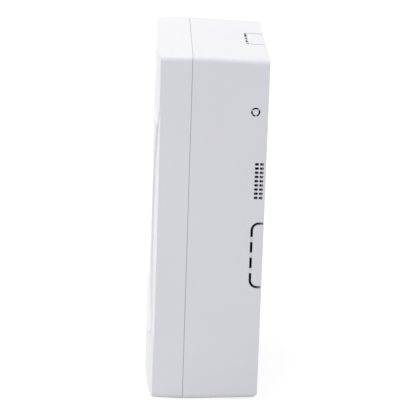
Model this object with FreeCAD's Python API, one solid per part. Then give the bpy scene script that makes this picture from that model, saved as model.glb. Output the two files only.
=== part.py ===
"""Wireless zone expander for a wall: a two-shell plastic housing with its board, radio and switches.

Millimetres. X is the width, +Z is up and the front faces -Y. The plane Y = 0 is the wall, and the
origin is the centre of the four wall fixings.
"""
import FreeCAD, Part
import math
import os

Vector = FreeCAD.Vector
os.makedirs("parts", exist_ok=True)

# Housing, measured at the parting line where the two shells are widest
HOUSING_WIDTH = 104.0
HOUSING_HEIGHT = 150.0
REAR_DEPTH = 32.3
COVER_DEPTH = 13.0
REAR_DRAFT = math.radians(1.8)
COVER_DRAFT = math.radians(1.4)
EDGE_RADIUS = 2.3
WALL = 2.0
INNER_RADIUS = 0.6
OVERRUN = 3.0
REAR_BOTTOM_RADIUS = 3.0
GROOVE_WIDTH = 0.28
GROOVE_DEPTH = 0.6

# Front of the cover
DOME_RISE = 1.8
DOME_SHOULDER = 16.0
CHIN_RISE = 3.2
CHIN_TOP = -41.0
CHIN_RAMP = 5.5
CHIN_ROLL_START = 12.0
CHIN_ROLL_DEPTH = 2.0
PANEL_RISE = 2.25
PANEL_HOLLOW = 0.3
PANEL_HALF_HEIGHT = 51.5
PANEL_TOP_RAMP = 5.5
SCALLOP_HALF_HEIGHT = 52.6
SCALLOP_INNER_HALF_HEIGHT = 43.0
SCALLOP_END_WIDTH = 4.0
SCALLOP_WAIST_WIDTH = 10.0
SCALLOP_DEPTH = 0.35

# Joint between the shells
LIP_HEIGHT = 2.5
LIP_ROOT = 4.0
LIP_THICKNESS = 1.2
LIP_CLEARANCE = 0.15
HOOK_WIDTH = 10.0
HOOK_SPACING = 56.0
HOOK_REACH = 1.0
HOOK_LENGTH = 1.4
HOOK_CLEARANCE = 0.2
HOOK_ROOT = 0.5

# Rear base
FLOOR = 1.6
FIXING_INSET_X = 14.0
FIXING_INSET_Z = 15.0
FIXING_SPACING_X = HOUSING_WIDTH - 2 * FIXING_INSET_X
FIXING_SPACING_Z = HOUSING_HEIGHT - 2 * FIXING_INSET_Z
FIXING_HOLE = 4.5
FIXING_PAD_RADIUS = 6.2
FIXING_PAD = 1.2
CABLE_SLOT_WIDTH = 44.0
CABLE_SLOT_HEIGHT = 12.0
CABLE_SLOT_RISE = 20.0
CABLE_SLOT_CENTRE_Z = CABLE_SLOT_RISE - HOUSING_HEIGHT / 2

# Knock-outs, vents and ring marks
SLOT = 1.1
SIDE_KNOCKOUT_LENGTH = 28.0
SIDE_KNOCKOUT_DEPTH = 5.0
SIDE_KNOCKOUT_CENTRE_Z = -10.0
SIDE_KNOCKOUT_RADIUS = 3.0
TOP_KNOCKOUT_LENGTH = 28.0
TOP_KNOCKOUT_DEPTH = 8.0
TOP_KNOCKOUT_RADIUS = 0.9
BRIDGE_WIDTH = 2.2
BRIDGE_PITCH = 6.83
BRIDGE_SINK = 0.6
EDGE_SKIN = 0.4
WEB = 1.1
WEB_MARGIN = 2.0
SCORE_DEPTH = 0.9
VENT_ROWS = 9
VENT_COLUMNS = 2
VENT_ROW_PITCH = 1.81
VENT_COLUMN_PITCH = 2.1
VENT_LENGTH = 1.6
VENT_CORNER = 0.3
VENT_HEIGHT = 1.15
VENT_CENTRE_Z = 22.4
VENT_CENTRE_SETBACK = 2.85
RING_Z = 51.9
RING_SETBACK = 5.3
RING_RADIUS = 1.95
RING_WIDTH = 0.75
RING_BRIDGE = 0.5
RING_BRIDGE_TURN = 35.0
RING_SINK = 0.5
RING_DIMPLE_RADIUS = 0.7
RING_DIMPLE_DEPTH = 0.35

# Cover screw, from below
COVER_SCREW_SETBACK = 7.2
SCREW_SHANK = 1.45
SCREW_HEAD = 2.8
SCREW_HEAD_HEIGHT = 2.0
SCREW_CLEARANCE = 0.25
COVER_SCREW_LENGTH = 9.0
COVER_SCREW_RECESS = 2.6
COVER_BOSS_RADIUS = 5.4
COVER_BOSS_HEIGHT = 4.6
ANCHOR_WIDTH = 10.0
ANCHOR_HEIGHT = 8.0
ANCHOR_REACH = 3.6
ANCHOR_ROOT = 12.0
ANCHOR_GAP = 0.5
SEAT_GAP = 0.1
PRESS = 0.05

# Main board
BOARD_SIDE_GAP = 9.0
BOARD_TOP_GAP = 7.0
WIRING_SPACE = 27.0
BOARD_WIDTH = HOUSING_WIDTH - 2 * BOARD_SIDE_GAP
BOARD_TOP = HOUSING_HEIGHT / 2 - BOARD_TOP_GAP
BOARD_BOTTOM = WIRING_SPACE - HOUSING_HEIGHT / 2
BOARD_THICKNESS = 1.6
BOARD_NOTCH = 14.0
POST_HEIGHT = 9.0
POST_RADIUS = 3.2
POST_PILOT = 1.15
POST_PILOT_DEPTH = 6.0
POST_INSET = 5.0
TOP_POST_X = BOARD_WIDTH / 2 - BOARD_NOTCH - POST_INSET
BOARD_SCREW_LENGTH = 5.5

# Screw terminals
TERMINAL_PITCH = 5.08
TERMINAL_DEPTH = 10.0
TERMINAL_HEIGHT = 11.0
TERMINAL_WALL = 0.7
TERMINAL_POCKET_HEIGHT = 5.4
TERMINAL_POCKET_FLOOR = 1.2
TERMINAL_CLEARANCE = 0.1
CLAMP_THICKNESS = 0.6
TERMINAL_SCREW = 1.75
TERMINAL_SCREW_SHANK = 1.0
TERMINAL_SCREW_SINK = 0.8
TERMINAL_SCREW_SLOT = 0.6
TERMINAL_SCREW_REACH = 1.6
TERMINAL_SLOPE = 1.5
CLAMP_SETBACK = 0.6
BUS_WAYS = 4
BUS_INSET = 16.0
BUS_CENTRE_X = BUS_INSET - BOARD_WIDTH / 2
OUTPUT_WAYS = 8
TERMINAL_SPACING = 36.0
OUTPUT_CENTRE_X = BUS_CENTRE_X + TERMINAL_SPACING

# Radio and antennas
RADIO_BOARD_WIDTH = 26.0
RADIO_BOARD_HEIGHT = 34.0
RADIO_BOARD_THICKNESS = 1.0
RADIO_CENTRE_X = 0.0
RADIO_INSET = 37.0
RADIO_CENTRE_Z = BOARD_TOP - RADIO_INSET
HEADER_PINS = 8
HEADER_PITCH = 2.54
HEADER_HEIGHT = 2.5
PIN_SIZE = 0.64
PIN_REACH = 1.3
SHIELD_WIDTH = 20.0
SHIELD_LENGTH = 20.0
SHIELD_HEIGHT = 3.0
SHIELD_WALL = 0.3
SHIELD_INSET = 2.0
ANTENNA_RADIUS = 0.5
ANTENNA_HOLE_CLEARANCE = 0.05
ANTENNA_INSET = 3.5
ANTENNA_X = BOARD_WIDTH / 2 - ANTENNA_INSET
ANTENNA_FOOT_Z = -10.0
ANTENNA_STAND_OFF = 9.0
ANTENNA_BEND = 3.0
ANTENNA_RISE = 72.0
ANTENNA_TAIL = 0.8

# Columns and rows that the parts on the board stand in, from its edges
RIGHT_COLUMN_INSET = 13.0
SUPPLY_COLUMN_INSET = 15.0
RIGHT_COLUMN_X = BOARD_WIDTH / 2 - RIGHT_COLUMN_INSET
SUPPLY_COLUMN_X = SUPPLY_COLUMN_INSET - BOARD_WIDTH / 2
TERMINAL_TOP_Z = BOARD_BOTTOM + TERMINAL_DEPTH

# Push buttons and tamper switches
SWITCH_SIZE = 6.0
SWITCH_HEIGHT = 3.5
BUTTON_RADIUS = 1.7
BUTTON_CLEARANCE = 0.05
BUTTON_SEAT = 2.0
BUTTON_TRAVEL = 0.25
BUTTON_PROUD = 1.5
ADDRESS_X = RIGHT_COLUMN_X
ADDRESS_Z = -4.0
COVER_TAMPER_X = RIGHT_COLUMN_X
COVER_TAMPER_INSET = 28.0
COVER_TAMPER_Z = BOARD_TOP - COVER_TAMPER_INSET
COVER_TAMPER_PROUD = 4.5
TAMPER_POST_RADIUS = 3.0
WALL_TAMPER_X = 0.0
WALL_TAMPER_INSET = 11.0
WALL_TAMPER_Z = BOARD_TOP - WALL_TAMPER_INSET
WALL_TAMPER_WIDTH = 12.8
WALL_TAMPER_HEIGHT = 6.5
PLUNGER_RADIUS = 2.0
PLUNGER_CLEARANCE = 0.05
PLUNGER_FLANGE_RADIUS = 3.2
PLUNGER_FLANGE = 0.8
PLUNGER_TRAVEL = 1.4
PLUNGER_CHAMFER = 0.4
COLLAR_WALL = 1.2
COLLAR_LENGTH = 2.2

# Chips, which stand on legs soldered to the board
CHIP_LIFT = 0.15
CHIP_LEG = 0.16
CHIP_LEG_REACH = 0.9
CHIP_LEG_ROOT = 0.1
CHIP_LEG_SHARE = 0.44
CONTROLLER_X = 0.0
CONTROLLER_Z = -2.0
CONTROLLER_SIZE = 10.0
CONTROLLER_THICKNESS = 1.4
CONTROLLER_LEGS = 11
CONTROLLER_PITCH = 0.8
NARROW_CHIP_DEPTH = 3.9
NARROW_CHIP_THICKNESS = 1.5
NARROW_CHIP_PITCH = 1.27
MEMORY_X = 16.0
MEMORY_Z = -2.0
MEMORY_WIDTH = 4.9
MEMORY_LEGS = 4
DRIVER_INSET = 21.0
DRIVER_RISE = 12.0
DRIVER_X = DRIVER_INSET - BOARD_WIDTH / 2
DRIVER_Z = TERMINAL_TOP_Z + DRIVER_RISE
DRIVER_WIDTH = 9.9
DRIVER_LEGS = 8
RADIO_CHIP_SIZE = 5.0
RADIO_CHIP_THICKNESS = 0.9

# Crystal, supply parts and regulator
CRYSTAL_X = 0.0
CRYSTAL_Z = -15.0
CRYSTAL_HALF_SPAN = 3.3
CRYSTAL_RADIUS = 1.8
CRYSTAL_HEIGHT = 3.5
CRYSTAL_FLANGE_RADIUS = 2.3
CRYSTAL_FLANGE = 0.5
CAPACITOR_OFFSET = 1.0
CAPACITOR_X = SUPPLY_COLUMN_X + CAPACITOR_OFFSET
CAPACITOR_Z = -10.0
CAPACITOR_PITCH = 10.0
CAPACITOR_RADIUS = 4.0
CAPACITOR_HEIGHT = 12.0
CRIMP_HEIGHT = 1.8
CRIMP_WIDTH = 0.6
CRIMP_DEPTH = 0.3
INDUCTOR_X = SUPPLY_COLUMN_X
INDUCTOR_Z = 6.5
INDUCTOR_SIZE = 9.0
INDUCTOR_HEIGHT = 4.0
INDUCTOR_CORNER = 2.0
REGULATOR_X = SUPPLY_COLUMN_X
REGULATOR_Z = 24.0
REGULATOR_WIDTH = 6.6
REGULATOR_LENGTH = 6.1
REGULATOR_HEIGHT = 2.3
REGULATOR_TAB = 0.5
REGULATOR_TAB_WIDTH = 5.4
REGULATOR_TAB_REACH = 1.5
REGULATOR_LEG_WIDTH = 0.7
REGULATOR_LEG_SPACING = 4.6
REGULATOR_LEG_REACH = 2.4

# Display, status lamps and service socket
DISPLAY_X = RIGHT_COLUMN_X
DISPLAY_Z = 17.0
DISPLAY_WIDTH = 15.0
DISPLAY_HEIGHT = 10.0
DISPLAY_DEPTH = 7.0
DISPLAY_CHAMFER = 0.4
LAMPS = 3
LAMP_X = RIGHT_COLUMN_X
LAMP_Z = -15.0
LAMP_PITCH = 6.0
LAMP_RADIUS = 1.5
LAMP_HEIGHT = 3.0
LAMP_FLANGE_RADIUS = 1.9
LAMP_FLANGE = 1.0
SOCKET_OFFSET = 2.0
SOCKET_RISE = 10.0
SOCKET_X = RIGHT_COLUMN_X - SOCKET_OFFSET
SOCKET_Z = TERMINAL_TOP_Z + SOCKET_RISE
SOCKET_WIDTH = 12.8
SOCKET_HEIGHT = 5.8
SOCKET_DEPTH = 8.0
SOCKET_WALL = 0.8
SOCKET_FLOOR = 1.6
SOCKET_PINS = 4
SOCKET_PIN_LENGTH = 4.5

# Chip resistors and chip capacitors
CERAMIC_LENGTH = 2.0
CERAMIC_WIDTH = 1.25
RESISTOR_HEIGHT = 0.5
RESISTOR_RISE = 7.0
RESISTOR_X = 4.2
RESISTOR_Z = TERMINAL_TOP_Z + RESISTOR_RISE
RESISTOR_COLUMNS = 8
RESISTOR_ROWS = 2
RESISTOR_PITCH_X = 3.2
RESISTOR_PITCH_Z = 4.0
CERAMIC_HEIGHT = 0.9
CERAMIC_X = -9.6
CERAMIC_Z = -1.8
CERAMIC_COLUMNS = 2
CERAMIC_ROWS = 5
CERAMIC_PITCH_X = 2.6
CERAMIC_PITCH_Z = 3.6

# Depths that follow from the sizes above
PARTING_Y = -REAR_DEPTH
COVER_EDGE_Y = PARTING_Y - COVER_DEPTH
FLOOR_FRONT_Y = -FLOOR
BOARD_BACK_Y = FLOOR_FRONT_Y - POST_HEIGHT
BOARD_FRONT_Y = BOARD_BACK_Y - BOARD_THICKNESS
COVER_HALF_WIDTH = HOUSING_WIDTH / 2 - COVER_DEPTH * math.tan(COVER_DRAFT)


def block(x0, x1, y0, y1, z0, z1):
    """Box between two corners."""
    return Part.makeBox(x1 - x0, y1 - y0, z1 - z0, Vector(x0, y0, z0))


def rod_y(radius, x, z, y0, y1):
    """Round bar along Y."""
    return Part.makeCylinder(radius, y1 - y0, Vector(x, y0, z), Vector(0, 1, 0))


def rod_z(radius, x, y, z0, z1):
    """Round bar along Z."""
    return Part.makeCylinder(radius, z1 - z0, Vector(x, y, z0), Vector(0, 0, 1))


def join(shapes):
    """One solid out of several that meet."""
    first, *rest = shapes
    return first.fuse(rest).removeSplitter() if rest else first


def half_width(y):
    """Outer half width of the housing at depth y; the draft runs both ways from the parting line."""
    slope = REAR_DRAFT if y > PARTING_Y else COVER_DRAFT
    return HOUSING_WIDTH / 2 - abs(y - PARTING_Y) * math.tan(slope)


def half_height(y):
    """Outer half height of the housing at depth y."""
    return half_width(y) + (HOUSING_HEIGHT - HOUSING_WIDTH) / 2


def rounded_outline(y, inset, slope_from=None):
    """Rounded rectangle round the housing at depth y, a wall thickness inside its outer face."""
    width = half_width(y) if slope_from is None else slope_from(y)
    width -= inset
    height = width + (HOUSING_HEIGHT - HOUSING_WIDTH) / 2
    radius = max(EDGE_RADIUS - inset, INNER_RADIUS)
    arc = radius * (1 - math.sqrt(0.5))
    edges = []
    corners = [(1, 1), (-1, 1), (-1, -1), (1, -1)]
    ends = []
    for sx, sz in corners:
        beside = Vector(sx * width, y, sz * (height - radius))
        over = Vector(sx * (width - radius), y, sz * height)
        middle = Vector(sx * (width - arc), y, sz * (height - arc))
        ends.append((beside, middle, over) if sx * sz > 0 else (over, middle, beside))
    for k, (start, middle, end) in enumerate(ends):
        edges.append(Part.Arc(start, middle, end).toShape())
        edges.append(Part.LineSegment(end, ends[(k + 1) % 4][0]).toShape())
    return Part.Wire(edges)


def tapered(y0, y1, inset, slope_from=None):
    """Drafted block of the housing's outline between two depths."""
    wires = [rounded_outline(y, inset, slope_from) for y in (y0, y1)]
    return Part.makeLoft(wires, True, True)


def rear_half_width(y):
    """Half width of the rear shell, its draft carried on past either end."""
    return HOUSING_WIDTH / 2 - (y - PARTING_Y) * math.tan(REAR_DRAFT)


def cover_half_width(y):
    """Half width of the cover, its draft carried on past either end."""
    return HOUSING_WIDTH / 2 - (PARTING_Y - y) * math.tan(COVER_DRAFT)


def dome_outline(z, rise):
    """Section of the domed front at height z: a flat middle with an arc down to each side edge."""
    flat = COVER_HALF_WIDTH - DOME_SHOULDER
    radius = (DOME_SHOULDER ** 2 + rise ** 2) / (2 * rise)
    reach = DOME_SHOULDER + OVERRUN

    def drop(run):
        return radius - math.sqrt(radius ** 2 - run ** 2)

    front = COVER_EDGE_Y - rise
    back = PARTING_Y + LIP_HEIGHT + 1.0
    tips = {}
    edges = []
    for side in (1, -1):
        start = Vector(side * flat, front, z)
        middle = Vector(side * (flat + reach / 2), front + drop(reach / 2), z)
        tips[side] = Vector(side * (flat + reach), front + drop(reach), z)
        edges.append(Part.Arc(start, middle, tips[side]).toShape())
    corner = {side: Vector(tips[side].x, back, z) for side in (1, -1)}
    edges.append(Part.LineSegment(Vector(flat, front, z), Vector(-flat, front, z)).toShape())
    edges.append(Part.LineSegment(tips[1], corner[1]).toShape())
    edges.append(Part.LineSegment(corner[1], corner[-1]).toShape())
    edges.append(Part.LineSegment(corner[-1], tips[-1]).toShape())
    return Part.Wire(Part.sortEdges(edges)[0])


def dome():
    """Everything behind the domed front, from above the housing to below it."""
    top = HOUSING_HEIGHT / 2 + 2.0
    upper = Part.Face(dome_outline(CHIN_TOP, DOME_RISE)).extrude(Vector(0, 0, top - CHIN_TOP))
    ramp_end = CHIN_TOP - CHIN_RAMP
    sections = [dome_outline(CHIN_TOP, DOME_RISE), dome_outline(ramp_end, CHIN_RISE)]
    ramp = Part.makeLoft(sections, True, True)
    lower = Part.Face(dome_outline(ramp_end, CHIN_RISE)).extrude(Vector(0, 0, -top - ramp_end))
    return upper.fuse([ramp, lower])


def chin_roll():
    """What is cut away under the chin, where the front rolls back to the bottom edge."""
    reach = HOUSING_WIDTH
    bottom = -half_height(COVER_EDGE_Y)
    centre = Vector(-reach, COVER_EDGE_Y + CHIN_ROLL_DEPTH, bottom + CHIN_ROLL_START)
    front = centre.y - CHIN_ROLL_DEPTH - CHIN_RISE
    tall = CHIN_ROLL_START + 0.3
    low = Vector(-reach, centre.y, centre.z - tall)
    near = Vector(-reach, front, centre.z)
    oval = Part.Ellipse(low, near, centre)
    curve = Part.ArcOfEllipse(oval, 0, math.pi / 2).toShape()
    tips = [v.Point for v in curve.Vertexes]
    low_tip = min(tips, key=lambda p: p.z)
    front_tip = max(tips, key=lambda p: p.z)
    ahead = front_tip.y - OVERRUN
    outer = [Vector(-reach, ahead, front_tip.z), Vector(-reach, ahead, low_tip.z)]
    edges = [curve]
    edges.append(Part.LineSegment(front_tip, outer[0]).toShape())
    edges.append(Part.LineSegment(outer[0], outer[1]).toShape())
    edges.append(Part.LineSegment(outer[1], low_tip).toShape())
    face = Part.Face(Part.Wire(Part.sortEdges(edges)[0]))
    return face.extrude(Vector(2 * reach, 0, 0))


def centre_panel():
    """Raised panel of the front, level with the dome, before the scallops trim its sides."""
    inner = COVER_HALF_WIDTH - DOME_SHOULDER
    outer = COVER_HALF_WIDTH - 1.0
    corner_x = COVER_HALF_WIDTH - SCALLOP_END_WIDTH + 1.0
    slant = (SCALLOP_HALF_HEIGHT - SCALLOP_INNER_HALF_HEIGHT) / SCALLOP_END_WIDTH
    corner_z = SCALLOP_INNER_HALF_HEIGHT + slant
    fall = (PANEL_HALF_HEIGHT - corner_z) / (corner_x - inner)
    outer_z = corner_z - fall * (outer - corner_x)
    back = COVER_EDGE_Y + WALL
    corners = [(inner, PANEL_HALF_HEIGHT), (outer, outer_z), (outer, -outer_z), (inner, -PANEL_HALF_HEIGHT)]
    corners += [(-x, z) for x, z in reversed(corners)]
    points = [Vector(x, back, z) for x, z in corners]
    outline = Part.Face(Part.makePolygon(points + points[:1])).extrude(Vector(0, -3 * WALL, 0))

    ramp_z = PANEL_HALF_HEIGHT - PANEL_TOP_RAMP
    high = COVER_EDGE_Y - PANEL_RISE
    hollow = high + PANEL_HOLLOW
    sunk = COVER_EDGE_Y - DOME_RISE + 0.05
    x = -HOUSING_WIDTH / 2
    front = Part.Arc(Vector(x, high, ramp_z), Vector(x, hollow, 0), Vector(x, high, -ramp_z)).toShape()
    end_z = PANEL_HALF_HEIGHT
    corners = [(high, -ramp_z), (high, -end_z - 1), (back + 1, -end_z - 1), (back + 1, end_z + 1)]
    corners += [(sunk, end_z + 1), (sunk, end_z), (high, ramp_z)]
    path = [Vector(x, y, z) for y, z in corners]
    edges = [front] + [Part.LineSegment(a, b).toShape() for a, b in zip(path, path[1:])]
    profile = Part.Face(Part.Wire(Part.sortEdges(edges)[0])).extrude(Vector(HOUSING_WIDTH, 0, 0))
    raised = dome().translated(Vector(0, DOME_RISE - PANEL_RISE, 0))
    return outline.common(profile).common(raised)


def scallop(side, floor):
    """Shallow hollow beside the centre panel, with slanted ends and a long arc along the panel."""
    edge = COVER_HALF_WIDTH
    end = edge - SCALLOP_END_WIDTH
    beyond = 3.0
    slant = (SCALLOP_HALF_HEIGHT - SCALLOP_INNER_HALF_HEIGHT) / SCALLOP_END_WIDTH
    reach_z = SCALLOP_HALF_HEIGHT + slant * beyond
    back = COVER_EDGE_Y + WALL
    high = Vector(side * end, back, SCALLOP_INNER_HALF_HEIGHT)
    low = Vector(side * end, back, -SCALLOP_INNER_HALF_HEIGHT)
    waist = Vector(side * (edge - SCALLOP_WAIST_WIDTH), back, 0)
    tips = [Vector(side * (edge + beyond), back, z) for z in (reach_z, -reach_z)]
    edges = [Part.Arc(high, waist, low).toShape()]
    edges.append(Part.LineSegment(high, tips[0]).toShape())
    edges.append(Part.LineSegment(tips[0], tips[1]).toShape())
    edges.append(Part.LineSegment(tips[1], low).toShape())
    tool = Part.Face(Part.Wire(Part.sortEdges(edges)[0])).extrude(Vector(0, -4 * WALL, 0))
    return tool.cut(floor)


def cover_screw_place():
    """Y of the cover screw, and the Z of the cover's underside there."""
    y = PARTING_Y - COVER_SCREW_SETBACK
    return y, -half_height(y)


def hook_centres():
    """X of the two hooks along the top of the cover."""
    return (-HOOK_SPACING / 2, HOOK_SPACING / 2)


def cover_lip():
    """Lip inside the cover's rim that slides into the rear shell."""
    y_end = PARTING_Y + LIP_HEIGHT
    y_root = PARTING_Y - LIP_ROOT
    inset = WALL + LIP_CLEARANCE + LIP_HEIGHT * math.tan(REAR_DRAFT)

    def straight(y):
        return HOUSING_WIDTH / 2

    ring = tapered(y_root, y_end, inset, straight)
    ring = ring.fuse(tapered(y_root, PARTING_Y, WALL / 2, straight))
    ring = ring.cut(tapered(y_root - 1, y_end + 1, inset + LIP_THICKNESS, straight))
    y, under = cover_screw_place()
    gap = ANCHOR_WIDTH / 2 + ANCHOR_GAP
    return ring.cut(block(-gap, gap, y_root - 1, y_end + 1, under - 1, under + ANCHOR_HEIGHT + 2 * WALL))


def lip_top_z():
    """Height of the outer face of the lip along the top."""
    return HOUSING_HEIGHT / 2 - WALL - LIP_CLEARANCE - LIP_HEIGHT * math.tan(REAR_DRAFT)


def front_cover():
    """Front shell: domed front, waisted centre panel, lip, hooks, screw boss and tamper post."""
    form = dome()
    shell = tapered(PARTING_Y, COVER_EDGE_Y - 2 * CHIN_RISE, 0, cover_half_width).common(form)
    shell = shell.fuse(centre_panel())
    lowered = form.translated(Vector(0, SCALLOP_DEPTH, 0))
    shell = shell.cut([scallop(1, lowered), scallop(-1, lowered)])
    shell = shell.cut(chin_roll())

    hollow = tapered(PARTING_Y + 1, COVER_EDGE_Y - 2 * CHIN_RISE, WALL, cover_half_width)
    hollow = hollow.common(form.translated(Vector(0, WALL, 0)))
    hollow = hollow.cut(chin_roll().translated(Vector(0, WALL, WALL)))
    shell = shell.cut(hollow)
    shell = shell.fuse(cover_lip())

    # Boss round the cover screw, trimmed to the outer form
    y, under = cover_screw_place()
    boss = rod_z(COVER_BOSS_RADIUS, 0, y, under, under + COVER_BOSS_HEIGHT)
    boss = boss.common(tapered(PARTING_Y, COVER_EDGE_Y, WALL / 2, cover_half_width))
    shell = shell.fuse(boss)
    recess = rod_z(SCREW_HEAD + SCREW_CLEARANCE, 0, y, under - 1, under + COVER_SCREW_RECESS)
    bore = rod_z(SCREW_SHANK + SCREW_CLEARANCE, 0, y, under - 1, under + COVER_BOSS_HEIGHT + 1)
    shell = shell.cut([recess, bore])

    # Hooks that catch in the rear shell's top wall
    top = lip_top_z()
    y_end = PARTING_Y + LIP_HEIGHT
    half = HOOK_WIDTH / 2
    hooks = [block(x - half, x + half, y_end - HOOK_LENGTH, y_end, top - HOOK_ROOT, top + HOOK_REACH)
             for x in hook_centres()]
    shell = shell.fuse(hooks)

    # Post over the tamper plunger
    inner = COVER_EDGE_Y - DOME_RISE + WALL / 2
    tip = BOARD_FRONT_Y - SWITCH_HEIGHT - COVER_TAMPER_PROUD - SEAT_GAP
    shell = shell.fuse(rod_y(TAMPER_POST_RADIUS, COVER_TAMPER_X, COVER_TAMPER_Z, inner, tip))
    return shell.removeSplitter()


def knockout_ring(length, depth, radius, low, high):
    """Line round a knock-out that is open to the rear edge, cut along X between two levels."""
    prisms = []
    for grow in (SLOT / 2, -SLOT / 2):
        front = -depth - grow
        half = length / 2 + grow
        r = radius + grow
        turn = r * (1 - math.sqrt(0.5))
        points = []
        for s in (1, -1):
            beside = Vector(low, front + r, s * half)
            middle = Vector(low, front + turn, s * (half - turn))
            across = Vector(low, front, s * (half - r))
            points.append((beside, middle, across))
        upper, lower = points
        tips = [Vector(low, OVERRUN, half), Vector(low, OVERRUN, -half)]
        edges = [Part.LineSegment(tips[0], upper[0]).toShape(), Part.Arc(*upper).toShape(),
                 Part.LineSegment(upper[2], lower[2]).toShape(), Part.Arc(*reversed(lower)).toShape(),
                 Part.LineSegment(lower[0], tips[1]).toShape(), Part.LineSegment(tips[1], tips[0]).toShape()]
        prisms.append(Part.Face(Part.Wire(edges)).extrude(Vector(high - low, 0, 0)))
    return prisms[0].cut(prisms[1])


def knockout(length, depth, radius, outer):
    """What is cut for one knock-out in a wall whose outer face is at X = outer.

    The wall is thinned to a web behind it, and a shallow line runs all round it. The line is cut
    through except at three bridges and a skin at the wall, and a score along the floor lets it snap off.
    """
    below, above = outer - WALL - OVERRUN, outer + OVERRUN
    line = knockout_ring(length, depth, radius, outer - BRIDGE_SINK, above)
    through = knockout_ring(length, depth, radius, below, above)
    kept = [block(below, above, -EDGE_SKIN, 2 * OVERRUN, -length, length)]
    half = BRIDGE_WIDTH / 2
    for k in (-1, 0, 1):
        z = k * BRIDGE_PITCH
        kept.append(block(below, above, -depth - 2 * SLOT, -depth + 2 * SLOT, z - half, z + half))
    inner = outer - WALL
    half = length / 2
    score = block(inner - SLOT, inner, -FLOOR - WALL, -FLOOR + SCORE_DEPTH, -half, half)
    return [web_recess(outer, -depth, -half, half), line, through.cut(kept), score]


def web_recess(outer, y0, z0, z1):
    """Pocket on the inside of a wall that thins it to a web, from the floor to a margin round an opening."""
    m = WEB_MARGIN
    return block(outer - WALL - OVERRUN, outer - WEB, y0 - m, FLOOR_FRONT_Y, z0 - m, z1 + m)


def vent_slots():
    """What is cut for the field of small slots in the right side wall, thinned to a web behind them."""
    slots = []
    long, tall = VENT_LENGTH / 2, VENT_HEIGHT / 2
    for row in range(VENT_ROWS):
        z = VENT_CENTRE_Z + (row - (VENT_ROWS - 1) / 2) * VENT_ROW_PITCH
        for column in range(VENT_COLUMNS):
            y = -VENT_CENTRE_SETBACK + (column - (VENT_COLUMNS - 1) / 2) * VENT_COLUMN_PITCH
            x = half_width(y)
            slot = block(x - WALL * 1.5, x + WALL, y - long, y + long, z - tall, z + tall)
            across = [edge for edge in slot.Edges if edge.BoundBox.XLength > WALL]
            slots.append(slot.makeFillet(VENT_CORNER, across))
    reach = (VENT_ROWS - 1) / 2 * VENT_ROW_PITCH
    front = -VENT_CENTRE_SETBACK - VENT_COLUMN_PITCH
    return [web_recess(half_width(front), front, VENT_CENTRE_Z - reach, VENT_CENTRE_Z + reach)] + slots


def ring_mark():
    """What is cut for the ring mark of the right side: a small round knock-out held by three sunk bridges."""
    y = -RING_SETBACK
    outer = half_width(y)

    def ring(x0, x1):
        start = Vector(x0, y, RING_Z)
        along = Vector(1, 0, 0)
        disc = Part.makeCylinder(RING_RADIUS, x1 - x0, start, along)
        return disc.cut(Part.makeCylinder(RING_RADIUS - RING_WIDTH, x1 - x0, start, along))

    through = ring(outer - 2 * WALL, outer + 1)
    for k in range(3):
        bridge = block(0, 2 * outer, 0, 2 * RING_RADIUS, -RING_BRIDGE / 2, RING_BRIDGE / 2)
        bridge.rotate(Vector(), Vector(1, 0, 0), RING_BRIDGE_TURN + 120 * k)
        bridge.translate(Vector(0, y, RING_Z))
        through = through.cut(bridge)
    point = Vector(outer - RING_DIMPLE_DEPTH, y, RING_Z)
    dimple = Part.makeCone(0, 2 * RING_DIMPLE_RADIUS, 2 * RING_DIMPLE_DEPTH, point, Vector(1, 0, 0))
    web = web_recess(outer, y - RING_RADIUS, RING_Z - RING_RADIUS, RING_Z + RING_RADIUS)
    return [web, through, ring(outer - RING_SINK, outer + 1), dimple]


def fixing_places():
    """X and Z of the four wall fixings."""
    return [(sx * FIXING_SPACING_X / 2, sz * FIXING_SPACING_Z / 2) for sx in (1, -1) for sz in (1, -1)]


def post_places():
    """X and Z of the four board posts."""
    x = BOARD_WIDTH / 2 - POST_INSET
    high = BOARD_TOP - POST_INSET
    low = BOARD_BOTTOM + POST_INSET + TERMINAL_DEPTH
    return [(TOP_POST_X, high), (-TOP_POST_X, high), (x, low), (-x, low)]


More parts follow.
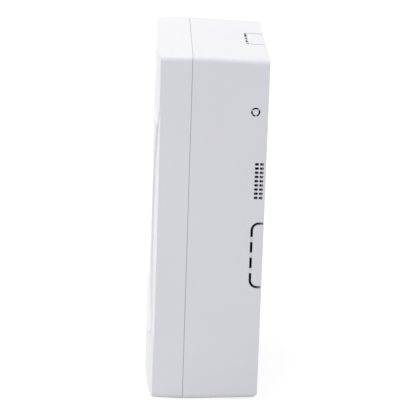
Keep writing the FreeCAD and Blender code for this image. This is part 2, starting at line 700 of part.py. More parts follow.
def rear_base():
    """Rear shell: a tray with wall fixings, board posts, knock-outs and vents."""
    shell = tapered(PARTING_Y, 0, 0, rear_half_width)
    shell = shell.cut(tapered(PARTING_Y - 1, FLOOR_FRONT_Y, WALL, rear_half_width))

    # Rounded edge along the bottom of the rear
    low = -half_height(0)
    r = REAR_BOTTOM_RADIUS
    z_centre = low + r * (1 + REAR_DRAFT)
    x = -HOUSING_WIDTH / 2
    foot = Vector(x, -r * (1 + math.sin(REAR_DRAFT)), z_centre - r * math.cos(REAR_DRAFT))
    turn = Vector(x, -r + r * math.sin(math.pi / 4), z_centre - r * math.sin(math.pi / 4))
    back = Vector(x, 0, z_centre)
    path = [back, Vector(x, 2, z_centre), Vector(x, 2, low - 2), Vector(x, foot.y, low - 2), foot]
    edges = [Part.Arc(foot, turn, back).toShape()]
    edges += [Part.LineSegment(a, b).toShape() for a, b in zip(path, path[1:])]
    corner = Part.Face(Part.Wire(Part.sortEdges(edges)[0]))
    shell = shell.cut(corner.extrude(Vector(HOUSING_WIDTH, 0, 0)))

    # Groove at the parting line
    rim = tapered(PARTING_Y - 1, PARTING_Y + GROOVE_WIDTH, -1, rear_half_width)
    shell = shell.cut(rim.cut(tapered(PARTING_Y - 2, PARTING_Y + 1, GROOVE_DEPTH, rear_half_width)))

    # Pads for the wall fixings, posts for the board, collar for the wall tamper plunger
    added = []
    cuts = []
    for x, z in fixing_places():
        added.append(rod_y(FIXING_PAD_RADIUS, x, z, FLOOR_FRONT_Y - FIXING_PAD, FLOOR_FRONT_Y))
        cuts.append(rod_y(FIXING_HOLE / 2, x, z, FLOOR_FRONT_Y - FIXING_PAD - 1, 1))
    for x, z in post_places():
        added.append(rod_y(POST_RADIUS, x, z, BOARD_BACK_Y, FLOOR_FRONT_Y))
        cuts.append(rod_y(POST_PILOT, x, z, BOARD_BACK_Y - 1, BOARD_BACK_Y + POST_PILOT_DEPTH))
    x, z = WALL_TAMPER_X, WALL_TAMPER_Z
    collar = PLUNGER_FLANGE_RADIUS + PLUNGER_CLEARANCE
    added.append(rod_y(collar + COLLAR_WALL, x, z, FLOOR_FRONT_Y - COLLAR_LENGTH, FLOOR_FRONT_Y))
    cuts.append(rod_y(collar, x, z, FLOOR_FRONT_Y - COLLAR_LENGTH - 1, FLOOR_FRONT_Y))
    cuts.append(rod_y(PLUNGER_RADIUS + PLUNGER_CLEARANCE, x, z, FLOOR_FRONT_Y - 1, 1))

    # Anchor that the cover screw bites into
    y, under = cover_screw_place()
    seat = under + COVER_BOSS_HEIGHT
    half = ANCHOR_WIDTH / 2
    root = block(-half, half, PARTING_Y, PARTING_Y + ANCHOR_ROOT, under + WALL / 2, seat + ANCHOR_HEIGHT)
    arm = block(-half, half, y - ANCHOR_REACH, PARTING_Y, seat, seat + ANCHOR_HEIGHT)
    added += [root, arm]
    cuts.append(rod_z(SCREW_SHANK - PRESS, 0, y, seat - 1, seat + COVER_SCREW_LENGTH))
    shell = shell.fuse(added)

    # Cable slot through the floor
    half_slot = CABLE_SLOT_HEIGHT / 2
    half = CABLE_SLOT_WIDTH / 2
    z = CABLE_SLOT_CENTRE_Z
    cuts.append(block(-half, half, FLOOR_FRONT_Y - 1, 1, z - half_slot, z + half_slot))

    # Pockets for the cover's hooks
    gap = HOOK_CLEARANCE
    y1 = PARTING_Y + LIP_HEIGHT + gap
    y0 = y1 - HOOK_LENGTH - 2 * gap
    top = lip_top_z()
    half = HOOK_WIDTH / 2 + gap
    for x in hook_centres():
        cuts.append(block(x - half, x + half, y0, y1, top - 1, top + HOOK_REACH + gap))

    # Knock-outs, vents and ring marks on both sides, and the knock-outs at the top and the bottom
    groups = []
    outer = half_width(-SIDE_KNOCKOUT_DEPTH)
    side_knockout = knockout(SIDE_KNOCKOUT_LENGTH, SIDE_KNOCKOUT_DEPTH, SIDE_KNOCKOUT_RADIUS, outer)
    side_knockout = [tool.translated(Vector(0, 0, SIDE_KNOCKOUT_CENTRE_Z)) for tool in side_knockout]
    for right_side in (side_knockout, vent_slots(), ring_mark()):
        groups += [right_side, [tool.mirror(Vector(), Vector(1, 0, 0)) for tool in right_side]]
    outer = half_height(-TOP_KNOCKOUT_DEPTH)
    top_knockout = knockout(TOP_KNOCKOUT_LENGTH, TOP_KNOCKOUT_DEPTH, TOP_KNOCKOUT_RADIUS, outer)
    for tool in top_knockout:
        tool.rotate(Vector(), Vector(0, 1, 0), -90)
    groups += [top_knockout, [tool.mirror(Vector(), Vector(0, 0, 1)) for tool in top_knockout]]
    for web, *openings in groups:
        shell = shell.cut(web)
        cuts += openings
    return shell.cut(cuts).removeSplitter()


def cover_screw():
    """Pan-head screw that holds the cover, driven upward."""
    y, under = cover_screw_place()
    seat = under + COVER_SCREW_RECESS
    head = rod_z(SCREW_HEAD, 0, y, seat - SCREW_HEAD_HEIGHT, seat)
    head = head.cut(cross_recess(Vector(0, y, seat - SCREW_HEAD_HEIGHT), Vector(0, 0, 1)))
    shank = rod_z(SCREW_SHANK - PRESS, 0, y, seat, seat + COVER_SCREW_LENGTH - SCREW_HEAD_HEIGHT)
    return head.fuse(shank).removeSplitter()


def cross_recess(face, into):
    """Cross-shaped driver recess in a screw head."""
    arm = SCREW_HEAD * 0.62
    blade = SCREW_HEAD * 0.12
    depth = SCREW_HEAD_HEIGHT * 0.6
    low, high = (-0.5, depth)
    if into.z:
        arms = [block(-arm, arm, -blade, blade, low, high), block(-blade, blade, -arm, arm, low, high)]
    else:
        arms = [block(-arm, arm, low, high, -blade, blade), block(-blade, blade, low, high, -arm, arm)]
    return arms[0].fuse(arms[1]).translated(face)


def board_screws():
    """Four pan-head screws that hold the main board to its posts."""
    screws = []
    for x, z in post_places():
        head_y = BOARD_FRONT_Y - SCREW_HEAD_HEIGHT
        head = rod_y(SCREW_HEAD, x, z, head_y, BOARD_FRONT_Y)
        head = head.cut(cross_recess(Vector(x, head_y, z), Vector(0, 1, 0)))
        shank = rod_y(POST_PILOT - PRESS, x, z, BOARD_FRONT_Y, BOARD_FRONT_Y + BOARD_SCREW_LENGTH)
        screws.append(head.fuse(shank).removeSplitter())
    return Part.makeCompound(screws)


def main_board():
    """Circuit board, notched at the top corners for the wall fixings."""
    half = BOARD_WIDTH / 2
    board = block(-half, half, BOARD_FRONT_Y, BOARD_BACK_Y, BOARD_BOTTOM, BOARD_TOP)
    front, back = BOARD_FRONT_Y - 1, BOARD_BACK_Y + 1
    cuts = []
    for side in (1, -1):
        x0, x1 = sorted((side * (half - BOARD_NOTCH), side * (half + 1)))
        cuts.append(block(x0, x1, front, back, BOARD_TOP - BOARD_NOTCH, BOARD_TOP + 1))
    for x, z in post_places():
        cuts.append(rod_y(SCREW_SHANK, x, z, front, back))
    for x in (-ANTENNA_X, ANTENNA_X):
        cuts.append(rod_y(ANTENNA_RADIUS + ANTENNA_HOLE_CLEARANCE, x, ANTENNA_FOOT_Z, front, back))
    for x in header_pin_places():
        cuts.append(rod_y(PIN_SIZE, x, header_z(), front, back))
    return board.cut(cuts)


def terminal_centres(ways, centre):
    """X of each way of a terminal block."""
    return [centre + (k - (ways - 1) / 2) * TERMINAL_PITCH for k in range(ways)]


def pocket_box(x, shrink):
    """Pocket for one clamp, open downward, made smaller by a clearance for the clamp itself."""
    half = TERMINAL_PITCH / 2 - TERMINAL_WALL - shrink
    y1 = BOARD_FRONT_Y - TERMINAL_POCKET_FLOOR - shrink
    y0 = y1 - TERMINAL_POCKET_HEIGHT + 2 * shrink
    z0 = BOARD_BOTTOM + (CLAMP_SETBACK if shrink else -1)
    z1 = BOARD_BOTTOM + TERMINAL_DEPTH - TERMINAL_WALL * 2 - shrink
    return block(x - half, x + half, y0, y1, z0, z1)


def terminal_body(ways, centre):
    """Plastic body of a screw terminal block, with a pocket and a screw hole for each way."""
    half = ways * TERMINAL_PITCH / 2
    z1 = BOARD_BOTTOM + TERMINAL_DEPTH
    front = BOARD_FRONT_Y - TERMINAL_HEIGHT
    body = block(centre - half, centre + half, front, BOARD_FRONT_Y, BOARD_BOTTOM, z1)
    brow = [e for e in body.Edges if e.BoundBox.YMax < front + 0.01 and e.BoundBox.ZMin > z1 - 0.01]
    body = body.makeChamfer(TERMINAL_SLOPE, brow)
    cuts = []
    middle = BOARD_BOTTOM + TERMINAL_DEPTH / 2
    for way in terminal_centres(ways, centre):
        cuts.append(pocket_box(way, 0))
        inner = BOARD_FRONT_Y - TERMINAL_POCKET_FLOOR - 1
        cuts.append(rod_y(TERMINAL_SCREW + TERMINAL_CLEARANCE, way, middle, front - 1, inner))
    return body.cut(cuts)


def terminal_clamps(ways, centre):
    """Metal clamps, one in each pocket: a box open along the wire, with a hole for the screw."""
    clamps = []
    middle = BOARD_BOTTOM + TERMINAL_DEPTH / 2
    for way in terminal_centres(ways, centre):
        clamp = pocket_box(way, TERMINAL_CLEARANCE)
        box = clamp.BoundBox
        t = CLAMP_THICKNESS
        inside = block(box.XMin + t, box.XMax - t, box.YMin + t, box.YMax - t, box.ZMin - 1, box.ZMax + 1)
        radius = TERMINAL_SCREW_SHANK + TERMINAL_CLEARANCE
        hole = rod_y(radius, way, middle, box.YMin - 1, box.YMin + 1.5 * t)
        clamps.append(clamp.cut([inside, hole]))
    return Part.makeCompound(clamps)


def terminal_screws(ways, centre):
    """Slotted screws of a terminal block."""
    screws = []
    middle = BOARD_BOTTOM + TERMINAL_DEPTH / 2
    front = BOARD_FRONT_Y - TERMINAL_HEIGHT + TERMINAL_SCREW_SINK
    for way in terminal_centres(ways, centre):
        top = pocket_box(way, TERMINAL_CLEARANCE).BoundBox.YMin - TERMINAL_CLEARANCE
        head = rod_y(TERMINAL_SCREW, way, middle, front, top)
        half = TERMINAL_SCREW_SLOT / 2
        slot = block(way - TERMINAL_SCREW, way + TERMINAL_SCREW, front - 1, front + TERMINAL_SCREW_SLOT * 1.5,
                     middle - half, middle + half)
        shank = rod_y(TERMINAL_SCREW_SHANK, way, middle, top, top + CLAMP_THICKNESS + TERMINAL_SCREW_REACH)
        screws.append(head.cut(slot).fuse(shank).removeSplitter())
    return Part.makeCompound(screws)


def header_z():
    """Height of the row of pins that carries the radio board."""
    return RADIO_CENTRE_Z - RADIO_BOARD_HEIGHT / 2 + HEADER_PITCH / 2


def header_pin_places():
    """X of each pin under the radio board."""
    return [RADIO_CENTRE_X + (k - (HEADER_PINS - 1) / 2) * HEADER_PITCH for k in range(HEADER_PINS)]


def radio_board():
    """Small board of the transceiver, standing off the main board on its header."""
    y1 = BOARD_FRONT_Y - HEADER_HEIGHT
    y0 = y1 - RADIO_BOARD_THICKNESS
    half = RADIO_BOARD_WIDTH / 2
    tall = RADIO_BOARD_HEIGHT / 2
    x, z = RADIO_CENTRE_X, RADIO_CENTRE_Z
    board = block(x - half, x + half, y0, y1, z - tall, z + tall)
    return board.cut([rod_y(PIN_SIZE, pin, header_z(), y0 - 1, y1 + 1) for pin in header_pin_places()])


def radio_face_y():
    """Front face of the radio board."""
    return BOARD_FRONT_Y - HEADER_HEIGHT - RADIO_BOARD_THICKNESS


def shield_centre_z():
    """Height of the middle of the radio's shield can."""
    return RADIO_CENTRE_Z + (RADIO_BOARD_HEIGHT - SHIELD_LENGTH) / 2 - SHIELD_INSET


def radio_shield():
    """Tinplate can over the transceiver, open at its rear."""
    y1 = radio_face_y()
    y0 = y1 - SHIELD_HEIGHT
    half = SHIELD_WIDTH / 2
    tall = SHIELD_LENGTH / 2
    x, z = RADIO_CENTRE_X, shield_centre_z()
    can = block(x - half, x + half, y0, y1, z - tall, z + tall)
    front = [edge for edge in can.Edges if abs(edge.BoundBox.YMax - y0) < 1e-6]
    can = can.makeFillet(SHIELD_WALL * 2, front)
    half -= SHIELD_WALL
    tall -= SHIELD_WALL
    return can.cut(block(x - half, x + half, y0 + SHIELD_WALL, y1 + 1, z - tall, z + tall))


def radio_chip():
    """Transceiver chip under the shield."""
    y1 = radio_face_y()
    half = RADIO_CHIP_SIZE / 2
    x, z = RADIO_CENTRE_X, shield_centre_z()
    return block(x - half, x + half, y1 - RADIO_CHIP_THICKNESS, y1, z - half, z + half)


def radio_header():
    """Plastic strip between the two boards, with a hole for each pin."""
    half = HEADER_PINS * HEADER_PITCH / 2
    x, z = RADIO_CENTRE_X, header_z()
    tall = HEADER_PITCH / 2
    y0, y1 = BOARD_FRONT_Y - HEADER_HEIGHT, BOARD_FRONT_Y
    strip = block(x - half, x + half, y0, y1, z - tall, z + tall)
    hole = PIN_SIZE / 2 + PRESS
    return strip.cut([block(pin - hole, pin + hole, y0 - 1, y1 + 1, z - hole, z + hole)
                      for pin in header_pin_places()])


def radio_header_pins():
    """Square pins through both boards."""
    half = PIN_SIZE / 2
    z = header_z()
    y0 = radio_face_y() - PIN_REACH
    y1 = BOARD_BACK_Y + PIN_REACH
    pins = [block(x - half, x + half, y0, y1, z - half, z + half) for x in header_pin_places()]
    return Part.makeCompound(pins)


def antenna(x):
    """Quarter-wave wire: out from the board, then up."""
    y_foot = BOARD_BACK_Y + ANTENNA_TAIL
    y_bend = BOARD_FRONT_Y - ANTENNA_STAND_OFF
    r = ANTENNA_BEND
    z = ANTENNA_FOOT_Z
    elbow = r * (1 - math.sqrt(0.5))
    middle = Vector(x, y_bend + elbow, z + elbow)
    leg = Part.LineSegment(Vector(x, y_foot, z), Vector(x, y_bend + r, z)).toShape()
    bend = Part.Arc(Vector(x, y_bend + r, z), middle, Vector(x, y_bend, z + r)).toShape()
    rise = Part.LineSegment(Vector(x, y_bend, z + r), Vector(x, y_bend, z + ANTENNA_RISE)).toShape()
    section = Part.Wire(Part.makeCircle(ANTENNA_RADIUS, Vector(x, y_foot, z), Vector(0, 1, 0)))
    return Part.Wire([leg, bend, rise]).makePipeShell([section], True, False)


def chip(x, z, width, height, thickness, legs, pitch, sides):
    """Moulded chip with its legs: a body and a row of legs along two or four sides."""
    y1 = BOARD_FRONT_Y - CHIP_LIFT
    y0 = y1 - CHIP_LEG
    pieces = [block(x - width / 2, x + width / 2, y1 - thickness, y1, z - height / 2, z + height / 2)]
    half = pitch * CHIP_LEG_SHARE / 2
    for k in range(legs):
        along = (k - (legs - 1) / 2) * pitch
        for s in (1, -1):
            near, far = sorted(s * (height / 2 + d) for d in (-CHIP_LEG_ROOT, CHIP_LEG_REACH))
            pieces.append(block(x + along - half, x + along + half, y0, BOARD_FRONT_Y, z + near, z + far))
            if sides == 4:
                near, far = sorted(s * (width / 2 + d) for d in (-CHIP_LEG_ROOT, CHIP_LEG_REACH))
                pieces.append(block(x + near, x + far, y0, BOARD_FRONT_Y, z + along - half, z + along + half))
    return join(pieces)


def microcontroller():
    """Flat square chip with legs on four sides."""
    size = CONTROLLER_SIZE
    return chip(CONTROLLER_X, CONTROLLER_Z, size, size, CONTROLLER_THICKNESS,
                CONTROLLER_LEGS, CONTROLLER_PITCH, 4)


def narrow_chip(x, z, width, legs):
    """Chip with legs on its two long sides."""
    return chip(x, z, width, NARROW_CHIP_DEPTH, NARROW_CHIP_THICKNESS, legs, NARROW_CHIP_PITCH, 2)


def main_crystal():
    """Metal-cased crystal: a flat can with round ends on a flange."""
    x, z = CRYSTAL_X, CRYSTAL_Z
    half = CRYSTAL_HALF_SPAN

    def can(r, y0, y1):
        ends = [rod_y(r, x + s * half, z, y0, y1) for s in (1, -1)]
        return join([block(x - half, x + half, y0, y1, z - r, z + r)] + ends)

    flange_y = BOARD_FRONT_Y - CRYSTAL_FLANGE
    flange = can(CRYSTAL_FLANGE_RADIUS, flange_y, BOARD_FRONT_Y)
    return join([flange, can(CRYSTAL_RADIUS, BOARD_FRONT_Y - CRYSTAL_HEIGHT, flange_y)])


def supply_capacitors():
    """Two upright electrolytic capacitors, each with a crimp round its can."""
    cans = []
    z = CAPACITOR_Z
    crimp = BOARD_FRONT_Y - CRIMP_HEIGHT
    for s in (-1, 1):
        x = CAPACITOR_X + s * CAPACITOR_PITCH / 2
        can = rod_y(CAPACITOR_RADIUS, x, z, BOARD_FRONT_Y - CAPACITOR_HEIGHT, BOARD_FRONT_Y)
        ring = rod_y(CAPACITOR_RADIUS + 1, x, z, crimp - CRIMP_WIDTH, crimp)
        ring = ring.cut(rod_y(CAPACITOR_RADIUS - CRIMP_DEPTH, x, z, crimp - CRIMP_WIDTH, crimp))
        cans.append(can.cut(ring))
    return Part.makeCompound(cans)


def power_inductor():
    """Round-cornered inductor of the supply."""
    x, z = INDUCTOR_X, INDUCTOR_Z
    half = INDUCTOR_SIZE / 2
    body = block(x - half, x + half, BOARD_FRONT_Y - INDUCTOR_HEIGHT, BOARD_FRONT_Y, z - half, z + half)
    upright = [edge for edge in body.Edges if edge.BoundBox.YLength > INDUCTOR_HEIGHT / 2]
    return body.makeFillet(INDUCTOR_CORNER, upright)


def voltage_regulator():
    """Flat regulator with a metal tab and two legs."""
    x, z = REGULATOR_X, REGULATOR_Z
    y1 = BOARD_FRONT_Y
    tab_y = y1 - REGULATOR_TAB
    half = REGULATOR_WIDTH / 2
    tall = REGULATOR_LENGTH / 2
    body = block(x - half, x + half, y1 - REGULATOR_HEIGHT, tab_y, z - tall, z + tall)
    half = REGULATOR_TAB_WIDTH / 2
    pieces = [body, block(x - half, x + half, tab_y, y1, z, z + tall + REGULATOR_TAB_REACH)]
    half = REGULATOR_LEG_WIDTH / 2
    for s in (1, -1):
        leg = x + s * REGULATOR_LEG_SPACING / 2
        pieces.append(block(leg - half, leg + half, tab_y, y1, z - tall - REGULATOR_LEG_REACH, z))
    return join(pieces)


def address_display():
    """Two-digit display in one block."""
    x, z = DISPLAY_X, DISPLAY_Z
    face = BOARD_FRONT_Y - DISPLAY_DEPTH
    half = DISPLAY_WIDTH / 2
    tall = DISPLAY_HEIGHT / 2
    body = block(x - half, x + half, face, BOARD_FRONT_Y, z - tall, z + tall)
    front = [edge for edge in body.Edges if abs(edge.BoundBox.YMax - face) < 1e-6]
    return body.makeChamfer(DISPLAY_CHAMFER, front)


def button_switch(x, z):
    """Square switch body with a round hole for its button."""
    half = SWITCH_SIZE / 2
    face = BOARD_FRONT_Y - SWITCH_HEIGHT
    body = block(x - half, x + half, face, BOARD_FRONT_Y, z - half, z + half)
    return body.cut(rod_y(BUTTON_RADIUS + BUTTON_CLEARANCE, x, z, face - 1, face + BUTTON_SEAT))


def button(x, z, proud):
    """Round button in a switch body, standing proud of it."""
    face = BOARD_FRONT_Y - SWITCH_HEIGHT
    return rod_y(BUTTON_RADIUS, x, z, face - proud, face + BUTTON_SEAT - BUTTON_TRAVEL - SEAT_GAP)


def wall_tamper_switch():
    """Switch on the rear of the board, over the plunger that feels the wall."""
    half = WALL_TAMPER_WIDTH / 2
    tall = WALL_TAMPER_HEIGHT / 2
    end = FLOOR_FRONT_Y - PLUNGER_TRAVEL - PLUNGER_FLANGE - 2 * SEAT_GAP
    x, z = WALL_TAMPER_X, WALL_TAMPER_Z
    return block(x - half, x + half, BOARD_BACK_Y, end, z - tall, z + tall)


def wall_tamper_plunger():
    """Flanged pin, held in by the wall: it springs back through the floor when the unit is taken down."""
    x, z = WALL_TAMPER_X, WALL_TAMPER_Z
    flange_y = FLOOR_FRONT_Y - PLUNGER_TRAVEL - SEAT_GAP
    flange = rod_y(PLUNGER_FLANGE_RADIUS, x, z, flange_y - PLUNGER_FLANGE, flange_y)
    pin = rod_y(PLUNGER_RADIUS, x, z, flange_y, 0)
    rim = [edge for edge in pin.Edges if abs(edge.BoundBox.YMin) < 1e-6 and edge.BoundBox.XLength > 1]
    return flange.fuse(pin.makeChamfer(PLUNGER_CHAMFER, rim)).removeSplitter()


def status_leds():
    """Row of small round lamps."""
    lamps = []
    z = LAMP_Z
    for k in range(LAMPS):
        x = LAMP_X + (k - (LAMPS - 1) / 2) * LAMP_PITCH
        shoulder = BOARD_FRONT_Y - LAMP_FLANGE
        tip = BOARD_FRONT_Y - LAMP_HEIGHT
        base = rod_y(LAMP_FLANGE_RADIUS, x, z, shoulder, BOARD_FRONT_Y)
        lamps.append(join([base, rod_y(LAMP_RADIUS, x, z, tip, shoulder),
                           Part.makeSphere(LAMP_RADIUS, Vector(x, tip, z))]))
    return Part.makeCompound(lamps)


def service_socket():
    """Shrouded socket for the installer's keypad."""
    x, z = SOCKET_X, SOCKET_Z
    y0 = BOARD_FRONT_Y - SOCKET_DEPTH
    half = SOCKET_WIDTH / 2
    tall = SOCKET_HEIGHT / 2
    outer = block(x - half, x + half, y0, BOARD_FRONT_Y, z - tall, z + tall)
    half -= SOCKET_WALL
    tall -= SOCKET_WALL
    return outer.cut(block(x - half, x + half, y0 - 1, BOARD_FRONT_Y - SOCKET_FLOOR, z - tall, z + tall))


def service_pins():
    """Pins standing in the service socket."""
    half = PIN_SIZE / 2
    face = BOARD_FRONT_Y - SOCKET_FLOOR
    tip = face - SOCKET_PIN_LENGTH
    z = SOCKET_Z
    places = [SOCKET_X + (k - (SOCKET_PINS - 1) / 2) * HEADER_PITCH for k in range(SOCKET_PINS)]
    return Part.makeCompound([block(x - half, x + half, tip, face, z - half, z + half) for x in places])


def ceramic_blocks(x_mid, z_mid, columns, rows, pitch_x, pitch_z, height):
    """Field of small ceramic parts, centred on one point of the board."""
    half = CERAMIC_WIDTH / 2
    tall = CERAMIC_LENGTH / 2
    blocks = []
    for column in range(columns):
        for row in range(rows):
            x = x_mid + (column - (columns - 1) / 2) * pitch_x
            z = z_mid + (row - (rows - 1) / 2) * pitch_z
            top = BOARD_FRONT_Y - height
            blocks.append(block(x - half, x + half, top, BOARD_FRONT_Y, z - tall, z + tall))
    return Part.makeCompound(blocks)


def chip_resistors():
    """Resistors above the output terminal."""
    return ceramic_blocks(RESISTOR_X, RESISTOR_Z, RESISTOR_COLUMNS, RESISTOR_ROWS,
                          RESISTOR_PITCH_X, RESISTOR_PITCH_Z, RESISTOR_HEIGHT)


def chip_capacitors():
    """Capacitors beside the microcontroller."""
    return ceramic_blocks(CERAMIC_X, CERAMIC_Z, CERAMIC_COLUMNS, CERAMIC_ROWS,
                          CERAMIC_PITCH_X, CERAMIC_PITCH_Z, CERAMIC_HEIGHT)


NODES = {
    "front_cover": front_cover,
    "rear_base": rear_base,
    "cover_screw": cover_screw,
    "main_board": main_board,
    "board_screws": board_screws,
    "bus_terminal": lambda: terminal_body(BUS_WAYS, BUS_CENTRE_X),
    "bus_terminal_clamps": lambda: terminal_clamps(BUS_WAYS, BUS_CENTRE_X),
    "bus_terminal_screws": lambda: terminal_screws(BUS_WAYS, BUS_CENTRE_X),
    "output_terminal": lambda: terminal_body(OUTPUT_WAYS, OUTPUT_CENTRE_X),
    "output_terminal_clamps": lambda: terminal_clamps(OUTPUT_WAYS, OUTPUT_CENTRE_X),
    "output_terminal_screws": lambda: terminal_screws(OUTPUT_WAYS, OUTPUT_CENTRE_X),
    "radio_board": radio_board,
    "radio_shield": radio_shield,
    "radio_chip": radio_chip,
    "radio_header": radio_header,
    "radio_header_pins": radio_header_pins,
    "antenna_left": lambda: antenna(-ANTENNA_X),
    "antenna_right": lambda: antenna(ANTENNA_X),
    "microcontroller": microcontroller,
    "memory_chip": lambda: narrow_chip(MEMORY_X, MEMORY_Z, MEMORY_WIDTH, MEMORY_LEGS),
    "bus_driver_chip": lambda: narrow_chip(DRIVER_X, DRIVER_Z, DRIVER_WIDTH, DRIVER_LEGS),
    "main_crystal": main_crystal,
    "supply_capacitors": supply_capacitors,
    "power_inductor": power_inductor,
    "voltage_regulator": voltage_regulator,
    "address_display": address_display,
    "address_switch": lambda: button_switch(ADDRESS_X, ADDRESS_Z),
    "address_button": lambda: button(ADDRESS_X, ADDRESS_Z, BUTTON_PROUD),
    "cover_tamper_switch": lambda: button_switch(COVER_TAMPER_X, COVER_TAMPER_Z),
    "cover_tamper_plunger": lambda: button(COVER_TAMPER_X, COVER_TAMPER_Z, COVER_TAMPER_PROUD),
    "wall_tamper_switch": wall_tamper_switch,
    "wall_tamper_plunger": wall_tamper_plunger,
    "status_leds": status_leds,
    "service_socket": service_socket,
    "service_pins": service_pins,
    "chip_resistors": chip_resistors,
    "chip_capacitors": chip_capacitors,
}

for name, make in NODES.items():
    shape = make()
    print(name, "solids", len(shape.Solids), "valid", shape.isValid(), "volume", round(shape.Volume, 1))
    shape.exportStep(f"parts/{name}.step")
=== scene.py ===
import bpy
import math
from mathutils import Matrix, Vector


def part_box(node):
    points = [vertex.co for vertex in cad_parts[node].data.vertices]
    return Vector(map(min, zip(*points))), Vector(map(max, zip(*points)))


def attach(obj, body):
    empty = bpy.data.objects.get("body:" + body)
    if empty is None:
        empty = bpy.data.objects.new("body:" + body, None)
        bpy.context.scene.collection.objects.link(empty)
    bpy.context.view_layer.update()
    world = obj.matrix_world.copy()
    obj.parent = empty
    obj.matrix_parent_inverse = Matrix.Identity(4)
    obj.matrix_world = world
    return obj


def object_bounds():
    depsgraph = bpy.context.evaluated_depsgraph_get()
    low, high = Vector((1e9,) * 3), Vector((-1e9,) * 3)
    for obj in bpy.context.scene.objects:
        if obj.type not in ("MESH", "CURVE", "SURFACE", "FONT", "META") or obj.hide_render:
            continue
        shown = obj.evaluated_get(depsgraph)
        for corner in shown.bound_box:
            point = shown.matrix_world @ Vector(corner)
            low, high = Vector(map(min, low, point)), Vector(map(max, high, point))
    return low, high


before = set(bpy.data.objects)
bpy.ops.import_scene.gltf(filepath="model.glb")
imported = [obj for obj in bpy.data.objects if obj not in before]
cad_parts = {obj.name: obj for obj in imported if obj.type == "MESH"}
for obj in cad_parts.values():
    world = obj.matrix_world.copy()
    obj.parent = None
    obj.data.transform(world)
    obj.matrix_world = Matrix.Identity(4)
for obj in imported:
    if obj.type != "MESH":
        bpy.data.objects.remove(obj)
cad_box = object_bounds()

# Housing: two shells moulded in white ABS, a shallow cover and a deep rear base, that meet at a parting line.
# The mould leaves a very fine even grain, and the white drifts a little in tone from thick to thin walls.
# The cover hooks in at the top, and one screw from below holds it to the base.


def start_group(name, colours, numbers, outputs):
    """Empty node group with its sockets; the outputs are given as name and kind of value."""
    group = bpy.data.node_groups.new(name, "ShaderNodeTree")
    for socket in colours:
        group.interface.new_socket(socket, in_out="INPUT", socket_type="NodeSocketColor")
    for socket in numbers:
        group.interface.new_socket(socket, in_out="INPUT", socket_type="NodeSocketFloat")
    for socket, kind in outputs:
        group.interface.new_socket(socket, in_out="OUTPUT", socket_type="NodeSocket" + kind)
    return group


def noise(nodes, links, vector, scale, detail):
    """Noise texture with its scale per metre."""
    node = nodes.new("ShaderNodeTexNoise")
    node.inputs["Scale"].default_value = scale
    node.inputs["Detail"].default_value = detail
    links.new(vector, node.inputs["Vector"])
    return node


def stretched(nodes, links, value, low, high):
    """Map Range node that spreads the span from low to high of a noise over 0 to 1."""
    node = nodes.new("ShaderNodeMapRange")
    node.inputs["From Min"].default_value = low
    node.inputs["From Max"].default_value = high
    links.new(value, node.inputs["Value"])
    return node


surface_outputs = (("Colour", "Color"), ("Roughness", "Float"), ("Height", "Float"))


def moulded_plastic_group():
    """Fine mould grain, a slow drift in tone, and the gloss that follows the grain."""
    group = start_group("moulded_plastic", ("Colour", "Drift Colour"), ("Grain Per Metre", "Smoothest", "Roughest"),
                        surface_outputs)
    nodes, links = group.nodes, group.links
    inside = nodes.new("NodeGroupInput")
    out = nodes.new("NodeGroupOutput")
    place = nodes.new("ShaderNodeTexCoord")
    drift = noise(nodes, links, place.outputs["Object"], scale=22, detail=1)
    spread = stretched(nodes, links, drift.outputs["Fac"], 0.35, 0.65)
    tone = nodes.new("ShaderNodeMix")
    tone.data_type = "RGBA"
    links.new(spread.outputs["Result"], tone.inputs["Factor"])
    links.new(inside.outputs["Colour"], tone.inputs["A"])
    links.new(inside.outputs["Drift Colour"], tone.inputs["B"])
    links.new(tone.outputs["Result"], out.inputs["Colour"])
    grain = noise(nodes, links, place.outputs["Object"], scale=1, detail=2)
    grain.inputs["Roughness"].default_value = 0.6
    links.new(inside.outputs["Grain Per Metre"], grain.inputs["Scale"])
    links.new(grain.outputs["Fac"], out.inputs["Height"])
    gloss = stretched(nodes, links, grain.outputs["Fac"], 0.3, 0.7)
    links.new(inside.outputs["Smoothest"], gloss.inputs["To Min"])
    links.new(inside.outputs["Roughest"], gloss.inputs["To Max"])
    links.new(gloss.outputs["Result"], out.inputs["Roughness"])
    return group


moulded_plastic = moulded_plastic_group()


def surfaced(name, group, values, relief, strength):
    """Material whose colour, gloss and relief come from a node group; relief in metres."""
    material = bpy.data.materials.new(name)
    material.use_nodes = True
    nodes, links = material.node_tree.nodes, material.node_tree.links
    shader = nodes["Principled BSDF"]
    surface = nodes.new("ShaderNodeGroup")
    surface.name = "surface"
    surface.node_tree = group
    for socket, value in values.items():
        surface.inputs[socket].default_value = value
    bump = nodes.new("ShaderNodeBump")
    bump.inputs["Strength"].default_value = strength
    bump.inputs["Distance"].default_value = relief
    links.new(surface.outputs["Colour"], shader.inputs["Base Color"])
    links.new(surface.outputs["Roughness"], shader.inputs["Roughness"])
    links.new(surface.outputs["Height"], bump.inputs["Height"])
    links.new(bump.outputs["Normal"], shader.inputs["Normal"])
    return material


def plastic(name, colour, drift, grain, gloss, relief):
    """Material of a moulded plastic: its two tones, grain per metre, span of roughness, and relief in metres."""
    values = {"Colour": (*colour, 1), "Drift Colour": (*drift, 1), "Grain Per Metre": grain,
              "Smoothest": gloss[0], "Roughest": gloss[1]}
    material = surfaced(name, moulded_plastic, values, relief, strength=0.6)
    material.node_tree.nodes["Principled BSDF"].inputs["IOR"].default_value = 1.5
    return material


def finish_node(name, material):
    """Gives a node of the frame its material."""
    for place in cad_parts[name].material_slots:
        place.material = material


